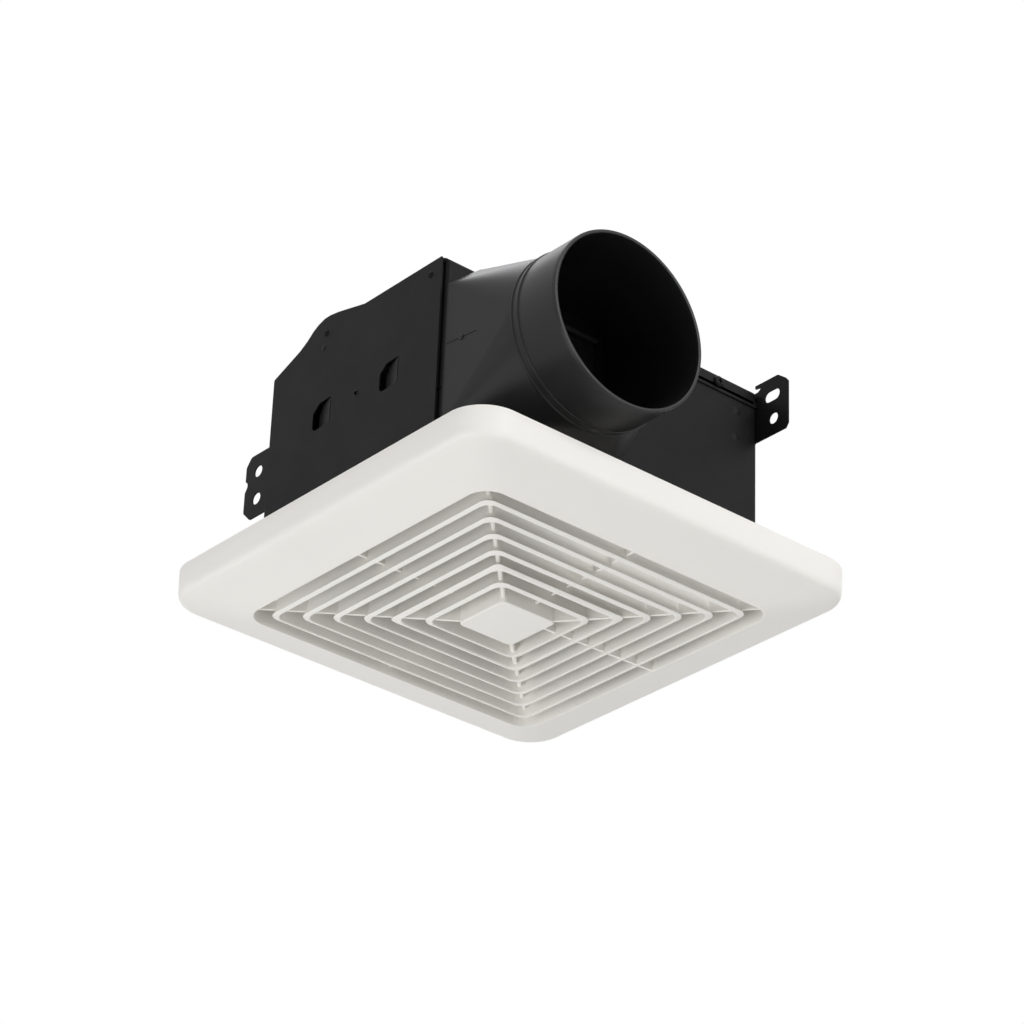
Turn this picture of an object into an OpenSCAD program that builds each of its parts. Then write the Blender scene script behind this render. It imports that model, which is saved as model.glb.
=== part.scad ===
// Ceiling exhaust fan with a square louvered grille and a round duct collar.
// Millimetres, +Z up. The origin is in the ceiling plane, at the centre of the grille.
// +X is the way the air leaves through the duct collar.

/* [Grille] */
// Outer width of the square grille
grille_side = 261; // [250:1:290]
// Radius of the grille's outer corners, seen from below
grille_corner_r = 17; // [14:1:28]
// Height of the side lip, from the ceiling down to the edge of the face
grille_lip_h = 17; // [14:0.5:22]
// How much further the face drops on its way in to the louvers
grille_dome = 8.7; // [4:0.1:12]
// Thickness of the moulded grille wall
grille_wall = 2.2; // [1.8:0.1:3]
// Width of the square louver opening
louver_side = 196.6; // [190:0.2:204]
// Corner radius of the louver opening
louver_corner_r = 12; // [9:0.5:16]
// Corner radius of a louver ring
ring_corner_r = 6; // [4:0.5:9]
// Number of louver rings
louver_count = 6; // [4:1:6]
// Step from one louver ring to the next
louver_pitch = 11.5; // [10.5:0.1:12.5]
// Height of a louver ring
louver_h = 10; // [8:0.5:12]
// Thickness of a louver ring above its foot
louver_wall = 1.6; // [1.2:0.1:2.2]
// Width of a louver ring at its lower edge
louver_foot_w = 3; // [2.4:0.1:4]
// Height of a louver ring's widened foot
louver_foot_h = 2; // [1:0.1:3]
// How much lower each ring lies than the one outside it
louver_sag = 0.65; // [0:0.05:0.8]
// Width of the flat square at the centre
centre_pad_side = 37; // [32:1:42]
// Thickness of the flat square at the centre
centre_pad_t = 2.4; // [1.6:0.1:4]
// Thickness of the ribs that tie the rings together
web_t = 1.6; // [1.2:0.1:2.4]
// Height of the ribs that tie the rings together
web_h = 7; // [3:0.5:8]

/* [Housing] */
// Depth of the housing along the duct direction
housing_x = 142; // [136:1:166]
// How far the housing sits towards the duct side from the grille's centre
housing_shift = 2; // [0:0.1:4]
// Width of the housing across the duct direction
housing_y = 223; // [215:1:240]
// Height of the housing's flat top above the ceiling plane
housing_top = 116; // [114:0.5:130]
// Height of the housing's lower edge above the ceiling plane
housing_lift = 1.5; // [0.5:0.1:3]
// Thickness of the sheet steel
sheet = 0.8; // [0.6:0.1:1]
// How far the sloped back corner reaches in from the back
slope_run = 35; // [28:1:42]
// How far the sloped back corner drops
slope_drop = 14; // [8:1:20]
// Width of the turned-in edge that the end plates are riveted to
edge_fold = 9; // [7:0.5:12]
// How far the end plates stop short of the duct side
plate_inset = 1.4; // [1:0.1:3]
// Height of the raised top cover above the flat top
cover_rise = 8.4; // [6:0.1:11]
// How far the cover's lip reaches down over the duct side
cover_lip = 10; // [8.5:0.5:13]

/* [Screw ears] */
// How far the left ear stands past the back of the housing
left_ear_len = 20.5; // [17:0.5:26]
// Height of the left ear
left_ear_h = 39; // [34:0.5:44]
// Height of the left ear's lower edge above the ceiling plane
left_ear_z = 22.5; // [16:0.5:30]
// Distance of the left ear's holes from the back of the housing
left_hole_out = 9.4; // [8:0.1:13]
// Height between the left ear's two holes
left_hole_gap = 16.7; // [13:0.1:20]
// How far the right ear stands past the duct side
right_ear_len = 24.8; // [20:0.1:28]
// Height of the right ear
right_ear_h = 36.2; // [32:0.1:40]
// Height of the right ear's lower edge above the ceiling plane
right_ear_z = 93.5; // [84:0.5:96]
// Height between the right ear's slot and its round hole
right_hole_gap = 14.6; // [13:0.1:17]
// Diameter of the ear holes
ear_hole_d = 6.6; // [5:0.1:7.5]
// Length of the slotted ear hole, end to end
ear_slot_len = 11.4; // [9:0.1:13]

/* [Knockouts] */
// Width of a cable knockout
knockout_w = 15; // [13:0.5:18]
// Height of a cable knockout
knockout_h = 16; // [13:0.5:18]
// Height of the knockouts' centres above the ceiling plane
knockout_z = 62; // [56:0.5:70]
// Place of the knockout nearer the back, along the plate
knockout_back_x = -24; // [-28:0.5:-20]
// Place of the knockout nearer the duct side, along the plate
knockout_front_x = 32; // [26:0.5:34]
// Angle by which the knockout tabs are pushed in
knockout_bend = 15; // [10:1:30]

/* [Duct adapter] */
// Outer diameter of the round duct collar
collar_d = 99; // [96:0.5:101]
// Length of the round collar past the beads
collar_len = 27.5; // [22:0.5:40]
// Length of the square-to-round part
transition_len = 43.5; // [38:0.5:52]
// Height of the collar's axis above the ceiling plane
collar_z = 65.2; // [63:0.1:68]
// Place of the collar's axis across the housing, from its centre
collar_y = -54.3; // [-56:0.1:-53]
// Wall thickness of the adapter
adapter_wall = 2; // [1.6:0.1:2.6]
// Thickness of the adapter's flange
flange_t = 2.5; // [2:0.1:3.5]
// How far the flange stands past the square part
flange_rim = 0.6; // [0.4:0.1:2]
// Height of the beads round the collar's root
bead_h = 1.1; // [0.6:0.1:1.6]
// Width of each bead
bead_w = 1.6; // [1:0.1:2.4]
// Groove between the beads
bead_gap = 3; // [2:0.1:4]

/* [Damper] */
// Width of the outlet that the damper closes
outlet_w = 76; // [70:0.5:78]
// How far the flap covers the outlet's rim on each side
flap_lap = 3; // [2:0.1:4]
// Thickness of the flap
flap_t = 1.2; // [1:0.1:2]
// Diameter of the damper's hinge pin
damper_pin_d = 2.4; // [2:0.1:3]

/* [Blower] */
// Height of the inlet plate above the ceiling plane
plenum_h = 38; // [36:0.5:42]
// Height of the volute
volute_h = 60; // [58:0.5:62]
// Thickness of the inlet plate and the motor plate
plate_t = 1; // [0.8:0.1:1.5]
// Wall thickness of the volute
volute_wall = 1.4; // [1:0.1:2]
// Diameter of the blower wheel
wheel_d = 96; // [88:1:98]
// Height of the blower wheel
wheel_h = 50; // [46:0.5:51]
// Number of blades on the wheel
blade_count = 32; // [24:1:36]
// Radial depth of a blade
blade_depth = 8; // [6:0.5:9]
// Thickness of a blade
blade_t = 1; // [0.8:0.1:1.4]
// Diameter of the inlet opening
inlet_d = 78; // [70:1:80]
// Radius of the rolled edge round the inlet
inlet_lip_r = 3.4; // [2.5:0.1:4]
// Place of the wheel's axis across the housing, from its centre
blower_y = 20; // [16:0.5:24]

/* [Motor] */
// Diameter of the motor
motor_d = 66; // [60:0.5:68]
// Height of the motor
motor_h = 36; // [34:0.5:37]
// Length of the stator stack
stack_h = 20; // [16:0.5:21]
// Diameter of the rotor
rotor_d = 33; // [30:0.5:34]
// Air gap between rotor and stator
air_gap = 0.4; // [0.3:0.05:0.6]
// Diameter of the motor shaft
shaft_d = 6; // [5:0.1:7]
// Outer diameter of the bearing bushes
bush_d = 12; // [11:0.5:13]
// Length of a bearing bush
bush_h = 5.5; // [4.5:0.5:6]
// Distance of the motor's screws from its axis
motor_screw_r = 40; // [39:0.5:42]

/* [Wiring] */
// How far the junction box reaches in from the left end plate
junction_depth = 30; // [26:0.5:31]
// Height of the junction box
junction_h = 58; // [54:0.5:60]
// Thickness of the motor lead
lead_d = 5; // [4:0.1:6]
// Length of the run capacitor
capacitor_len = 38; // [34:1:44]
// Width of the run capacitor
capacitor_w = 16; // [14:0.5:18]
// Height of the run capacitor
capacitor_h = 26; // [22:0.5:30]

/* [Grille springs] */
// Distance of the springs from the centre, along the duct direction
spring_x = 62; // [60:0.5:63]
// Thickness of the spring wire
spring_wire = 1.6; // [1.2:0.1:2]
// Number of whole turns in each spring's coil
spring_turns = 2; // [1:1:3]
// Length of each spring arm
spring_arm_len = 42; // [36:0.5:44]
// Angle of each spring arm from upright while the grille is closed
spring_angle = 30; // [22:1:36]

/* [Hidden] */
$fn = 48;
// Slack that lets a cutter pass cleanly through a face
cut = 1;
// Gap between two pieces that are fitted face to face
seat = 0.1;

// Colours
white_plastic = [0.87, 0.87, 0.855];
black_paint = [0.09, 0.09, 0.09];
black_plastic = [0.11, 0.11, 0.11];
bare_steel = [0.62, 0.63, 0.64];
copper = [0.72, 0.42, 0.22];
bronze = [0.6, 0.46, 0.25];

// Housing
hx = housing_shift + housing_x / 2;
back_x = housing_shift - housing_x / 2;
hy = housing_y / 2;
slope_x = back_x + slope_run;
slope_z = housing_top - slope_drop;
cover_top = housing_top + cover_rise;
cover_lip_z = cover_top - cover_lip;
// The cover narrows beside the duct and is full depth past it
cover_step_y = 47;
cover_inset = 11;
cover_front_y = 13;
cover_back_x = -30;
cover_screw_y = 81;
cover_screw_z = housing_top + cover_rise * 0.4;
cover_screw_d = 2.8;
cover_screw_head_d = 6.6;
cover_screw_len = 7;
// Rim left round the opening under the cover, and the tab that the lip is screwed to
cover_ledge = 8;
cover_ledge_y = 15;
cover_opening_y = -30;
cover_tab_in = 6;
cover_tab_sink = 2;
slope_angle = atan2(slope_drop, slope_run);
rivet_d = 3.6;
rivet_shank = 2.2;
rivet_head_h = 0.9;
rivet_front_in = 10.5;
rivet_slope_in = 9.5;
rivet_low_z = 12;
rivet_back_x = back_x + edge_fold / 2;
rivet_front_drop = 7.5;
rivet_slope_drop = 4;
rivet_points = [
    [hx - rivet_front_in, housing_top - rivet_front_drop],
    [slope_x + rivet_slope_in, housing_top - rivet_slope_drop], [rivet_back_x, rivet_low_z]
];
plate_front_x = hx - plate_inset;
// Raised hump of the end plates, from its crest: along the plate, then up from the flat top
hump_x = slope_x + 12;
hump = [[30, 0], [25, 1.1], [15, 3.4], [7, 5.2], [0, 6.2], [-5, 6.1], [-10, 4.5], [-14, 2.4],
        [-19, -1.6], [-25, -5.2]];
// Pressed dimples beside the right corner, and the pierced one between the knockouts
dimple_r = 2.2;
dimple_h = 0.5;
dimple_in = 16.5;
dimple_heights = [91, 108];
pierced_r = 1.1;
pierced_x = 5;
pierced_rise = 0.5;
right_slot_drop = 11.5;
pilot_r = 1.45;

// Duct adapter, along X from the housing's side
flange_x = hx + seat;
body_x = flange_x + flange_t;
seat_x = body_x + adapter_wall;
round_x = body_x + transition_len;
bead_x = round_x + bead_w;
collar_x = bead_x + bead_gap + bead_w;
rim_x = collar_x + collar_len;
collar_r = collar_d / 2;
square_half = collar_r + adapter_wall;
square_top = collar_z + square_half - 1;
// The cut upper corners start a little inside the outlet's width
corner_over = 3.5;
corner_cut_y = square_half - outlet_w / 2 + corner_over;
corner_cut_z = corner_cut_y * 0.82;
corner_angle = atan2(corner_cut_z, corner_cut_y);
flange_far_rim = 8;
adapter_screw_d = 2.8;
adapter_screw_head_d = 6.4;
adapter_screw_grip = 5;
adapter_screw_out = 3.5;
adapter_screw_low = 37;
adapter_screw_high = 38;
adapter_screw_y = collar_y + square_half + adapter_screw_out;
adapter_screw_points = [
    [adapter_screw_y, collar_z - adapter_screw_low], [adapter_screw_y, collar_z + adapter_screw_high]
];

// Blower heights
volute_z = plenum_h + plate_t;
plate_z = volute_z + volute_h;
wheel_lift = 5;
wheel_z = volute_z + wheel_lift;
wheel_r = wheel_d / 2;
wheel_ring_w = blade_depth + 1;
wheel_ring_t = 1.6;
wheel_plate_t = 1.2;
outlet_y0 = collar_y - outlet_w / 2;
outlet_y1 = collar_y + outlet_w / 2;

// Motor heights
motor_top_gap = 2;
motor_top = housing_top - sheet - motor_top_gap;
motor_z = motor_top - motor_h;
bell_t = 1.4;
split_z = motor_z + motor_h / 2;
stack_z = split_z - stack_h / 2;
stack_top = stack_z + stack_h;
bush_gap = 1;
running_gap = 0.04;
shaft_r = shaft_d / 2;
bush_r = bush_d / 2;
boss_wall = 2;
hub_gap = 3;
hub_h = 10;
hub_r = 7.5;
hub_top = motor_z - hub_gap;
hub_z = hub_top - hub_h;
nut_h = 4;
nut_gap = 0.2;
shaft_tail = 8;
ear_t = 1.5;
grommet_foot = 2;
grommet_neck_r = 3.2;
grommet_r = 4.8;
motor_screw_d = 3.2;
motor_screw_head_d = 7;
motor_screw_grip = 2;
motor_ear_r = 6;
grommet_lip = 1.6;
nut_out = 3;
stator_slots = 12;
stator_slot_w = 3.2;
stator_tooth = 2;
turn_h = 4.2;
turn_gap = 3;
motor_ear_z = plate_z + plate_t + grommet_foot + seat;
motor_angles = [90, 210, 330];

// Damper
outlet_top = plate_z;
flap_gap = 0.4;
damper_pin_r = damper_pin_d / 2;
barrel_r = damper_pin_r + 1.1;
damper_x = seat_x + flap_gap + barrel_r;
damper_z = outlet_top + barrel_r + 0.4;
flap_w = outlet_w + 2 * flap_lap;
flap_bottom = volute_z - flap_lap;
ear_gap = 0.4;
ear_w = 2;
ear_r = damper_pin_r + 1.4;
pin_out = 0.2;
flap_rib_w = 1.2;
flap_rib_h = 1.4;
flap_rib_low = 8;
flap_rib_high = 4;

// Screw posts that carry the inlet plate and the motor plate, round the volute
post_r = 4;
post_hole_r = 1.3;
post_angles = [0, 50, 130, 215];
post_gap = 0.3;
screw_head_d = 6;
screw_head_h = 2;
inlet_screw_len = 12;
// Gap between the wrapper and the plates that slide into it
plate_gap = 0.3;
motor_plate_front = 3;
motor_plate_back = 12;
motor_fold_y = 34;
motor_fold_h = 9;

// Wiring
junction_x0 = -60;
junction_x1 = 46;
junction_z = volute_z + seat;
junction_top = junction_z + junction_h;
junction_y = junction_depth - hy;
receptacle_x = -40;
receptacle_z = junction_top - 12;
socket_w = 18;
socket_h = 12;
socket_depth = 12;
socket_rim = 2;
socket_rim_t = 1.5;
plug_len = 14;
plug_in = 1;
ground_x = 0;
ground_z = junction_z + 20;
ground_screw_d = 3;
strap_t = 1;
strap_w = 10;
strap_foot = 8;
capacitor_in = 2;
capacitor_lift = 6;
dark_rubber = [0.12, 0.12, 0.12];
// Route of the motor lead, from the plug to the motor
lead_route = [
    [-40, junction_y + plug_len + 0.4, receptacle_z], [-40, junction_y + plug_len + 4, receptacle_z + 0.5],
    [-42, -58, 89], [-43, -57.5, 94], [-43, -57.5, 100], [-42, -56, 105], [-38, -50, 108],
    [-31, -39, 108.5], [-25, -28, 108], [-19.5, -17, 107], [-15.5, -9.6, 106.5]
];
notch_x = -43;
notch_y = -57.5;

// Springs
coil_z = -4.5;
coil_mid_r = 2.8;
coil_pitch = spring_wire + 0.5;
// The coil adds the part turn that lies between the two arms
coil_sweep = 360 * spring_turns + 180 - 2 * spring_angle;
coil_span = coil_pitch * coil_sweep / 360;
coil_x0 = spring_x - coil_span / 2;
spring_hook = 3.5;
arm_clear = 0.3;
lug_t = 5;
lug_w = 7;
pin_r = coil_mid_r - spring_wire / 2 - arm_clear;
bracket_z = 5;
bracket_t = 1.2;
bracket_h = 12;
bracket_reach = 14;
bracket_half = 16;
slot_half = 12;
slot_w = coil_span + spring_wire + 1.2;

// A square with round corners, made of true arcs
module round_square(half_x, half_y, r) {
    union() {
        square([2 * half_x, 2 * (half_y - r)], center = true);
        square([2 * (half_x - r), 2 * half_y], center = true);
        for (sx = [-1, 1])
            for (sy = [-1, 1])
                translate([sx * (half_x - r), sy * (half_y - r)])
                    circle(r = r, $fn = 32);
    }
}

// Extrudes a drawing in Y and Z along +X, from x0
module along_x(x0, length) {
    translate([x0, 0, 0])
        rotate([90, 0, 90])
            linear_extrude(length)
                children();
}

// Extrudes a drawing in X and Z along +Y, from y0
module along_y(y0, length) {
    translate([0, y0 + length, 0])
        rotate([90, 0, 0])
            linear_extrude(length)
                children();
}

// A cylinder along X, Y or Z from a start point
module rod_x(p, length, r) {
    translate(p)
        rotate([0, 90, 0])
            cylinder(h = length, r = r);
}
module rod_y(p, length, r) {
    translate(p)
        rotate([-90, 0, 0])
            cylinder(h = length, r = r);
}

// A round tube along a list of points, its rings set out from a reference direction
tube_sides = 8;
function unit(v) = v / norm(v);
function tangent(p, i) = unit(p[min(i + 1, len(p) - 1)] - p[max(i - 1, 0)]);
module tube_along(p, r, ref) {
    n = len(p);
    rings = [for (i = [0:n - 1])
        let (t = tangent(p, i), u = unit(cross(t, ref)), v = cross(t, u))
        for (k = [0:tube_sides - 1])
            p[i] + r * (cos(k * 360 / tube_sides) * u + sin(k * 360 / tube_sides) * v)];
    walls = [for (i = [0:n - 2])
        for (k = [0:tube_sides - 1])
            [i * tube_sides + k, i * tube_sides + (k + 1) % tube_sides,
             (i + 1) * tube_sides + (k + 1) % tube_sides, (i + 1) * tube_sides + k]];
    ends = [
        [for (k = [tube_sides - 1:-1:0]) k],
        [for (k = [0:tube_sides - 1]) (n - 1) * tube_sides + k]
    ];
    polyhedron(points = rings, faces = concat(walls, ends));
}

// A round plate head screw that points along -Z from z = 0
module screw_down(d, head_d, head_h, length) {
    union() {
        cylinder(h = head_h, d = head_d);
        translate([0, 0, -length])
            cylinder(h = length + 0.2, d = d);
    }
}

// Grille

// Half width of the opening inside louver ring k, ring 0 being the frame
function ring_half(k) = louver_side / 2 - k * louver_pitch;
function ring_low(k) = -(grille_lip_h + grille_dome + k * louver_sag);
ring_top = -(grille_lip_h + grille_dome - louver_h);
pad_corner_r = 3;
pad_half = centre_pad_side / 2;
opening_half = louver_side / 2;
// Rim of the face round the louver opening, and the soft lower edge of the lip
face_rim = 3;
lip_draft = 0.5;
lip_soft_w = 4.5;
lip_soft_h = 4;
skin = 0.01;

// Stacked outlines that give the frame its lip, soft edge and sloping face
module grille_form(inset) {
    half = grille_side / 2 - inset;
    r = grille_corner_r - inset;
    soft_edge = [for (a = [0:30:90])
        [grille_lip_h - lip_soft_h * (1 - sin(a)), lip_draft + lip_soft_w * (1 - cos(a))]];
    hull() {
        linear_extrude(skin)
            round_square(half, half, r);
        for (level = soft_edge)
            translate([0, 0, inset - level[0]])
                linear_extrude(skin)
                    round_square(half - level[1], half - level[1], r - level[1]);
        translate([0, 0, ring_low(0) + inset])
            linear_extrude(skin)
                round_square(opening_half + face_rim, opening_half + face_rim, louver_corner_r + face_rim);
    }
}

module louver_ring(k) {
    half = ring_half(k);
    // The foot keeps the same corner radius inside and outside, so it is widest at the corners
    translate([0, 0, ring_low(k)])
        linear_extrude(louver_foot_h)
            difference() {
                round_square(half + louver_foot_w, half + louver_foot_w, ring_corner_r);
                round_square(half, half, ring_corner_r);
            }
    translate([0, 0, ring_low(k)])
        linear_extrude(ring_top - ring_low(k))
            difference() {
                round_square(half + louver_wall, half + louver_wall, ring_corner_r + louver_wall);
                round_square(half, half, ring_corner_r);
            }
}

module grille() {
    color(white_plastic)
    union() {
        difference() {
            grille_form(0);
            translate([0, 0, 2 * skin])
                grille_form(grille_wall);
            translate([0, 0, ring_low(0) - cut])
                linear_extrude(-ring_low(0) + 2 * cut)
                    round_square(opening_half, opening_half, louver_corner_r);
        }
        // Upstand round the louver opening
        translate([0, 0, ring_low(0) + 1])
            linear_extrude(ring_top - ring_low(0) - 1)
                difference() {
                    round_square(opening_half + grille_wall, opening_half + grille_wall,
                                 louver_corner_r + grille_wall);
                    round_square(opening_half, opening_half, louver_corner_r);
                }
        for (k = [1:louver_count])
            louver_ring(k);
        // Centre square and the walls behind it
        translate([0, 0, ring_low(louver_count + 1)])
            linear_extrude(centre_pad_t)
                round_square(pad_half, pad_half, pad_corner_r);
        translate([0, 0, ring_low(louver_count + 1)])
            linear_extrude(ring_top - ring_low(louver_count + 1))
                difference() {
                    round_square(pad_half, pad_half, pad_corner_r);
                    round_square(pad_half - louver_wall, pad_half - louver_wall, pad_corner_r - louver_wall);
                }
        // Ribs across the middle of each side, and on the diagonals
        for (a = [0:90:270]) {
            rotate([0, 0, a])
                grille_rib(pad_half, opening_half);
            rotate([0, 0, a + 45])
                grille_rib(diagonal(pad_half, pad_corner_r), diagonal(opening_half, louver_corner_r));
        }
        // Lugs that hold the springs
        for (s = [-1, 1])
            spring_lug(s);
    }
}

// Distance from the centre to the rounded corner of a square
function diagonal(half, r) = (half - r) * sqrt(2) + r;

// A rib along +X that ends inside the walls it ties together
module grille_rib(from, to) {
    translate([from - louver_wall / 2, -web_t / 2, ring_top - web_h])
        cube([to - from + louver_wall, web_t, web_h]);
}

// A post on the rib with a cross pin through the spring's coil
module spring_lug(s) {
    lug_x = coil_x0 - spring_wire / 2 - arm_clear - lug_t;
    pin_len = coil_span + spring_wire + 2 * arm_clear + 1;
    lug_z = ring_top - web_h / 2;
    mirror([s < 0 ? 1 : 0, 0, 0]) {
        translate([lug_x, -lug_w / 2, lug_z])
            cube([lug_t, lug_w, coil_z + pin_r + 1.2 - lug_z]);
        rod_x([lug_x + lug_t - 1, 0, coil_z], pin_len + 1, pin_r);
    }
}

// Route of a torsion spring: down one arm, round the coil and up the other arm
function coil_point(t) =
    let (a = 180 + spring_angle + coil_sweep * t)
    [coil_x0 + coil_span * t, coil_mid_r * cos(a), coil_z + coil_mid_r * sin(a)];
function arm_point(side, along) =
    let (root = coil_point(side < 0 ? 0 : 1))
    root + [0, side * sin(spring_angle), cos(spring_angle)] * along;
function hook_point(side) =
    arm_point(side, spring_arm_len) + [0, side * 0.9, -0.45] * spring_hook;
coil_steps = 8 * (spring_turns + 1);
spring_route = concat(
    [hook_point(-1), arm_point(-1, spring_arm_len), arm_point(-1, spring_arm_len / 2)],
    [for (i = [0:coil_steps]) coil_point(i / coil_steps)],
    [arm_point(1, spring_arm_len / 2), arm_point(1, spring_arm_len), hook_point(1)]
);
// Least gap between points of the coil that lie a whole turn or more apart
coil_gap = min([for (i = [0:coil_steps])
    for (k = [i:coil_steps])
        if ((k - i) * coil_sweep / coil_steps >= 300)
            norm(coil_point(i / coil_steps) - coil_point(k / coil_steps)) - spring_wire]);
echo(least_gap_in_spring_coil = coil_gap);

module grille_spring(s) {
    color(bare_steel)
        mirror([s < 0 ? 1 : 0, 0, 0])
            tube_along(spring_route, spring_wire / 2, [1, 0, 0]);
}
module grille_spring_left() { grille_spring(-1); }
module grille_spring_right() { grille_spring(1); }

// Bent bracket on the housing's wall, with the slot that the spring arms pass
module spring_bracket(s) {
    wall_in = (s < 0 ? -back_x : hx) - sheet;
    color(bare_steel)
        mirror([s < 0 ? 1 : 0, 0, 0])
            difference() {
                union() {
                    translate([wall_in - bracket_reach, -bracket_half, bracket_z])
                        cube([bracket_reach, 2 * bracket_half, bracket_t]);
                    translate([wall_in - bracket_t, -bracket_half, bracket_z])
                        cube([bracket_t, 2 * bracket_half, bracket_h]);
                }
                translate([spring_x - slot_w / 2, -slot_half, bracket_z - cut])
                    cube([slot_w, 2 * slot_half, bracket_t + 2 * cut]);
            }
}
module spring_bracket_left() { spring_bracket(-1); }
module spring_bracket_right() { spring_bracket(1); }

// Housing

// Outline of the wrapper in X and Z, open at the bottom, drawn inset from the outside
module housing_outline(inset) {
    polygon([
        [hx - inset, housing_lift - (inset > 0 ? cut : 0)],
        [hx - inset, housing_top - inset],
        [slope_x + inset * tan(slope_angle / 2), housing_top - inset],
        [back_x + inset, slope_z + inset * (tan(slope_angle) - 1 / cos(slope_angle))],
        [back_x + inset, housing_lift - (inset > 0 ? cut : 0)]
    ]);
}

// Left ear in X and Z, bent out of the wrapper's back edge
module left_ear() {
    ear_x = back_x - left_ear_len;
    mid_z = left_ear_z + left_ear_h / 2;
    polygon([
        [back_x + 1, left_ear_z], [ear_x + 6, left_ear_z], [ear_x, left_ear_z + 6],
        [ear_x, mid_z - 1], [ear_x + 2, mid_z + 2], [ear_x + 2, mid_z + 4],
        [ear_x, mid_z + 6], [ear_x, left_ear_z + left_ear_h - 5],
        [ear_x + 4, left_ear_z + left_ear_h],
        [back_x + 1, left_ear_z + left_ear_h]
    ]);
}

module housing_wrapper() {
    inner_y = hy - sheet;
    hole_z = left_ear_z + left_ear_h / 2 - left_hole_gap / 2;
    color(black_paint)
    difference() {
        union() {
            along_y(-inner_y, 2 * inner_y)
                difference() {
                    housing_outline(0);
                    housing_outline(sheet);
                }
            // Turned-in edges behind the end plates
            for (y0 = [-inner_y, inner_y - sheet])
                along_y(y0, sheet)
                    difference() {
                        housing_outline(0);
                        housing_outline(edge_fold);
                    }
            along_y(-inner_y, sheet)
                left_ear();
            // Tab that the cover's lip is screwed to
            translate([hx - sheet, cover_step_y + cover_tab_in, housing_top - cover_tab_sink])
                cube([sheet, inner_y - cover_step_y - cover_ledge,
                      cover_rise + cover_tab_sink - sheet - seat]);
            // Two pressed dimples beside the right corner
            for (z = dimple_heights)
                rod_x([hx - sheet / 2, hy - dimple_in, z], sheet / 2 + dimple_h, dimple_r);
        }
        // Opening for the blower's outlet
        translate([hx - sheet - cut, outlet_y0, volute_z])
            cube([sheet + 2 * cut, outlet_w, volute_h]);
        // Opening under the raised cover
        translate([cover_back_x + cover_ledge, cover_opening_y, housing_top - sheet - cut])
            cube([hx - cover_inset - cover_back_x - 2 * cover_ledge, hy - cover_ledge_y - cover_opening_y,
                  sheet + 2 * cut]);
        // Rivet holes
        for (p = rivet_points)
            rod_y([p[0], -hy, p[1]], 2 * hy, rivet_shank / 2 + 0.05);
        for (dz = [0, left_hole_gap])
            rod_y([back_x - left_hole_out, -inner_y - cut, hole_z + dz], sheet + 2 * cut, ear_hole_d / 2);
        // Cover screw hole
        rod_x([hx - sheet - cut, cover_screw_y, cover_screw_z], sheet + 2 * cut, pilot_r);
        // Adapter screw holes
        for (p = adapter_screw_points)
            rod_x([hx - sheet - cut, p[0], p[1]], sheet + 2 * cut, pilot_r);
    }
}

// Edge of an end plate in X and Z, with the raised hump over the rivet
module plate_outline() {
    polygon(concat(
        [[plate_front_x, housing_lift], [plate_front_x, housing_top]],
        [for (p = hump) [hump_x + p[0], housing_top + p[1]]],
        [[back_x, slope_z], [back_x, housing_lift]]
    ));
}

module knockout_shape() {
    intersection() {
        translate([-knockout_w / 2, -knockout_h / 2])
            square([knockout_w, knockout_h]);
        translate([2.5, 0])
            circle(r = knockout_h * 0.58);
    }
}

// A knockout tab pushed in about its front edge
module knockout_tab(x) {
    hinge_x = knockout_w / 2 - 0.4;
    translate([x + hinge_x, -hy, knockout_z])
        rotate([0, 0, -knockout_bend])
            translate([-hinge_x, 0, 0])
                along_y(0, sheet)
                    intersection() {
                        knockout_shape();
                        translate([-knockout_w / 2 + 0.5, -knockout_h / 2 + 0.4])
                            square([knockout_w, knockout_h - 0.8]);
                    }
}

module end_plate_left() {
    color(black_paint)
    union() {
        difference() {
            along_y(-hy, sheet)
                plate_outline();
            for (x = [knockout_back_x, knockout_front_x])
                translate([x, 0, knockout_z])
                    along_y(-hy - cut, sheet + 2 * cut)
                        knockout_shape();
            for (p = rivet_points)
                rod_y([p[0], -hy - cut, p[1]], sheet + 2 * cut, rivet_shank / 2 + 0.05);
            // Pierced dimple between the knockouts
            rod_y([pierced_x, -hy - cut, knockout_z + pierced_rise], sheet + 2 * cut, pierced_r);
        }
        for (x = [knockout_back_x, knockout_front_x])
            knockout_tab(x);
    }
}

module end_plate_right() {
    ear_x = hx + right_ear_len;
    ear_top = right_ear_z + right_ear_h;
    mid_x = hx + right_ear_len / 2;
    slot_z = ear_top - right_slot_drop;
    color(black_paint)
    difference() {
        along_y(hy - sheet, sheet)
            union() {
                plate_outline();
                polygon([
                    [plate_front_x - 2, right_ear_z], [ear_x - 2, right_ear_z], [ear_x, right_ear_z + 3],
                    [ear_x, ear_top - 7], [ear_x - 2, ear_top - 4.5], [ear_x - 8, ear_top],
                    [hx - 1, ear_top], [hx - 1, ear_top - 2], [hx + 4, ear_top - 3],
                    [hx + 1, housing_top + 3], [plate_front_x - 2, housing_top - 2]
                ]);
            }
        for (p = rivet_points)
            rod_y([p[0], hy - sheet - cut, p[1]], sheet + 2 * cut, rivet_shank / 2 + 0.05);
        // Slot above, round hole below
        for (dx = [-1, 1])
            rod_y([mid_x + dx * (ear_slot_len - ear_hole_d) / 2, hy - sheet - cut, slot_z], sheet + 2 * cut,
                  ear_hole_d / 2);
        translate([mid_x - (ear_slot_len - ear_hole_d) / 2, hy - sheet - cut, slot_z - ear_hole_d / 2])
            cube([ear_slot_len - ear_hole_d, sheet + 2 * cut, ear_hole_d]);
        rod_y([mid_x + 1, hy - sheet - cut, slot_z - right_hole_gap], sheet + 2 * cut, ear_hole_d / 2);
    }
}

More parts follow.
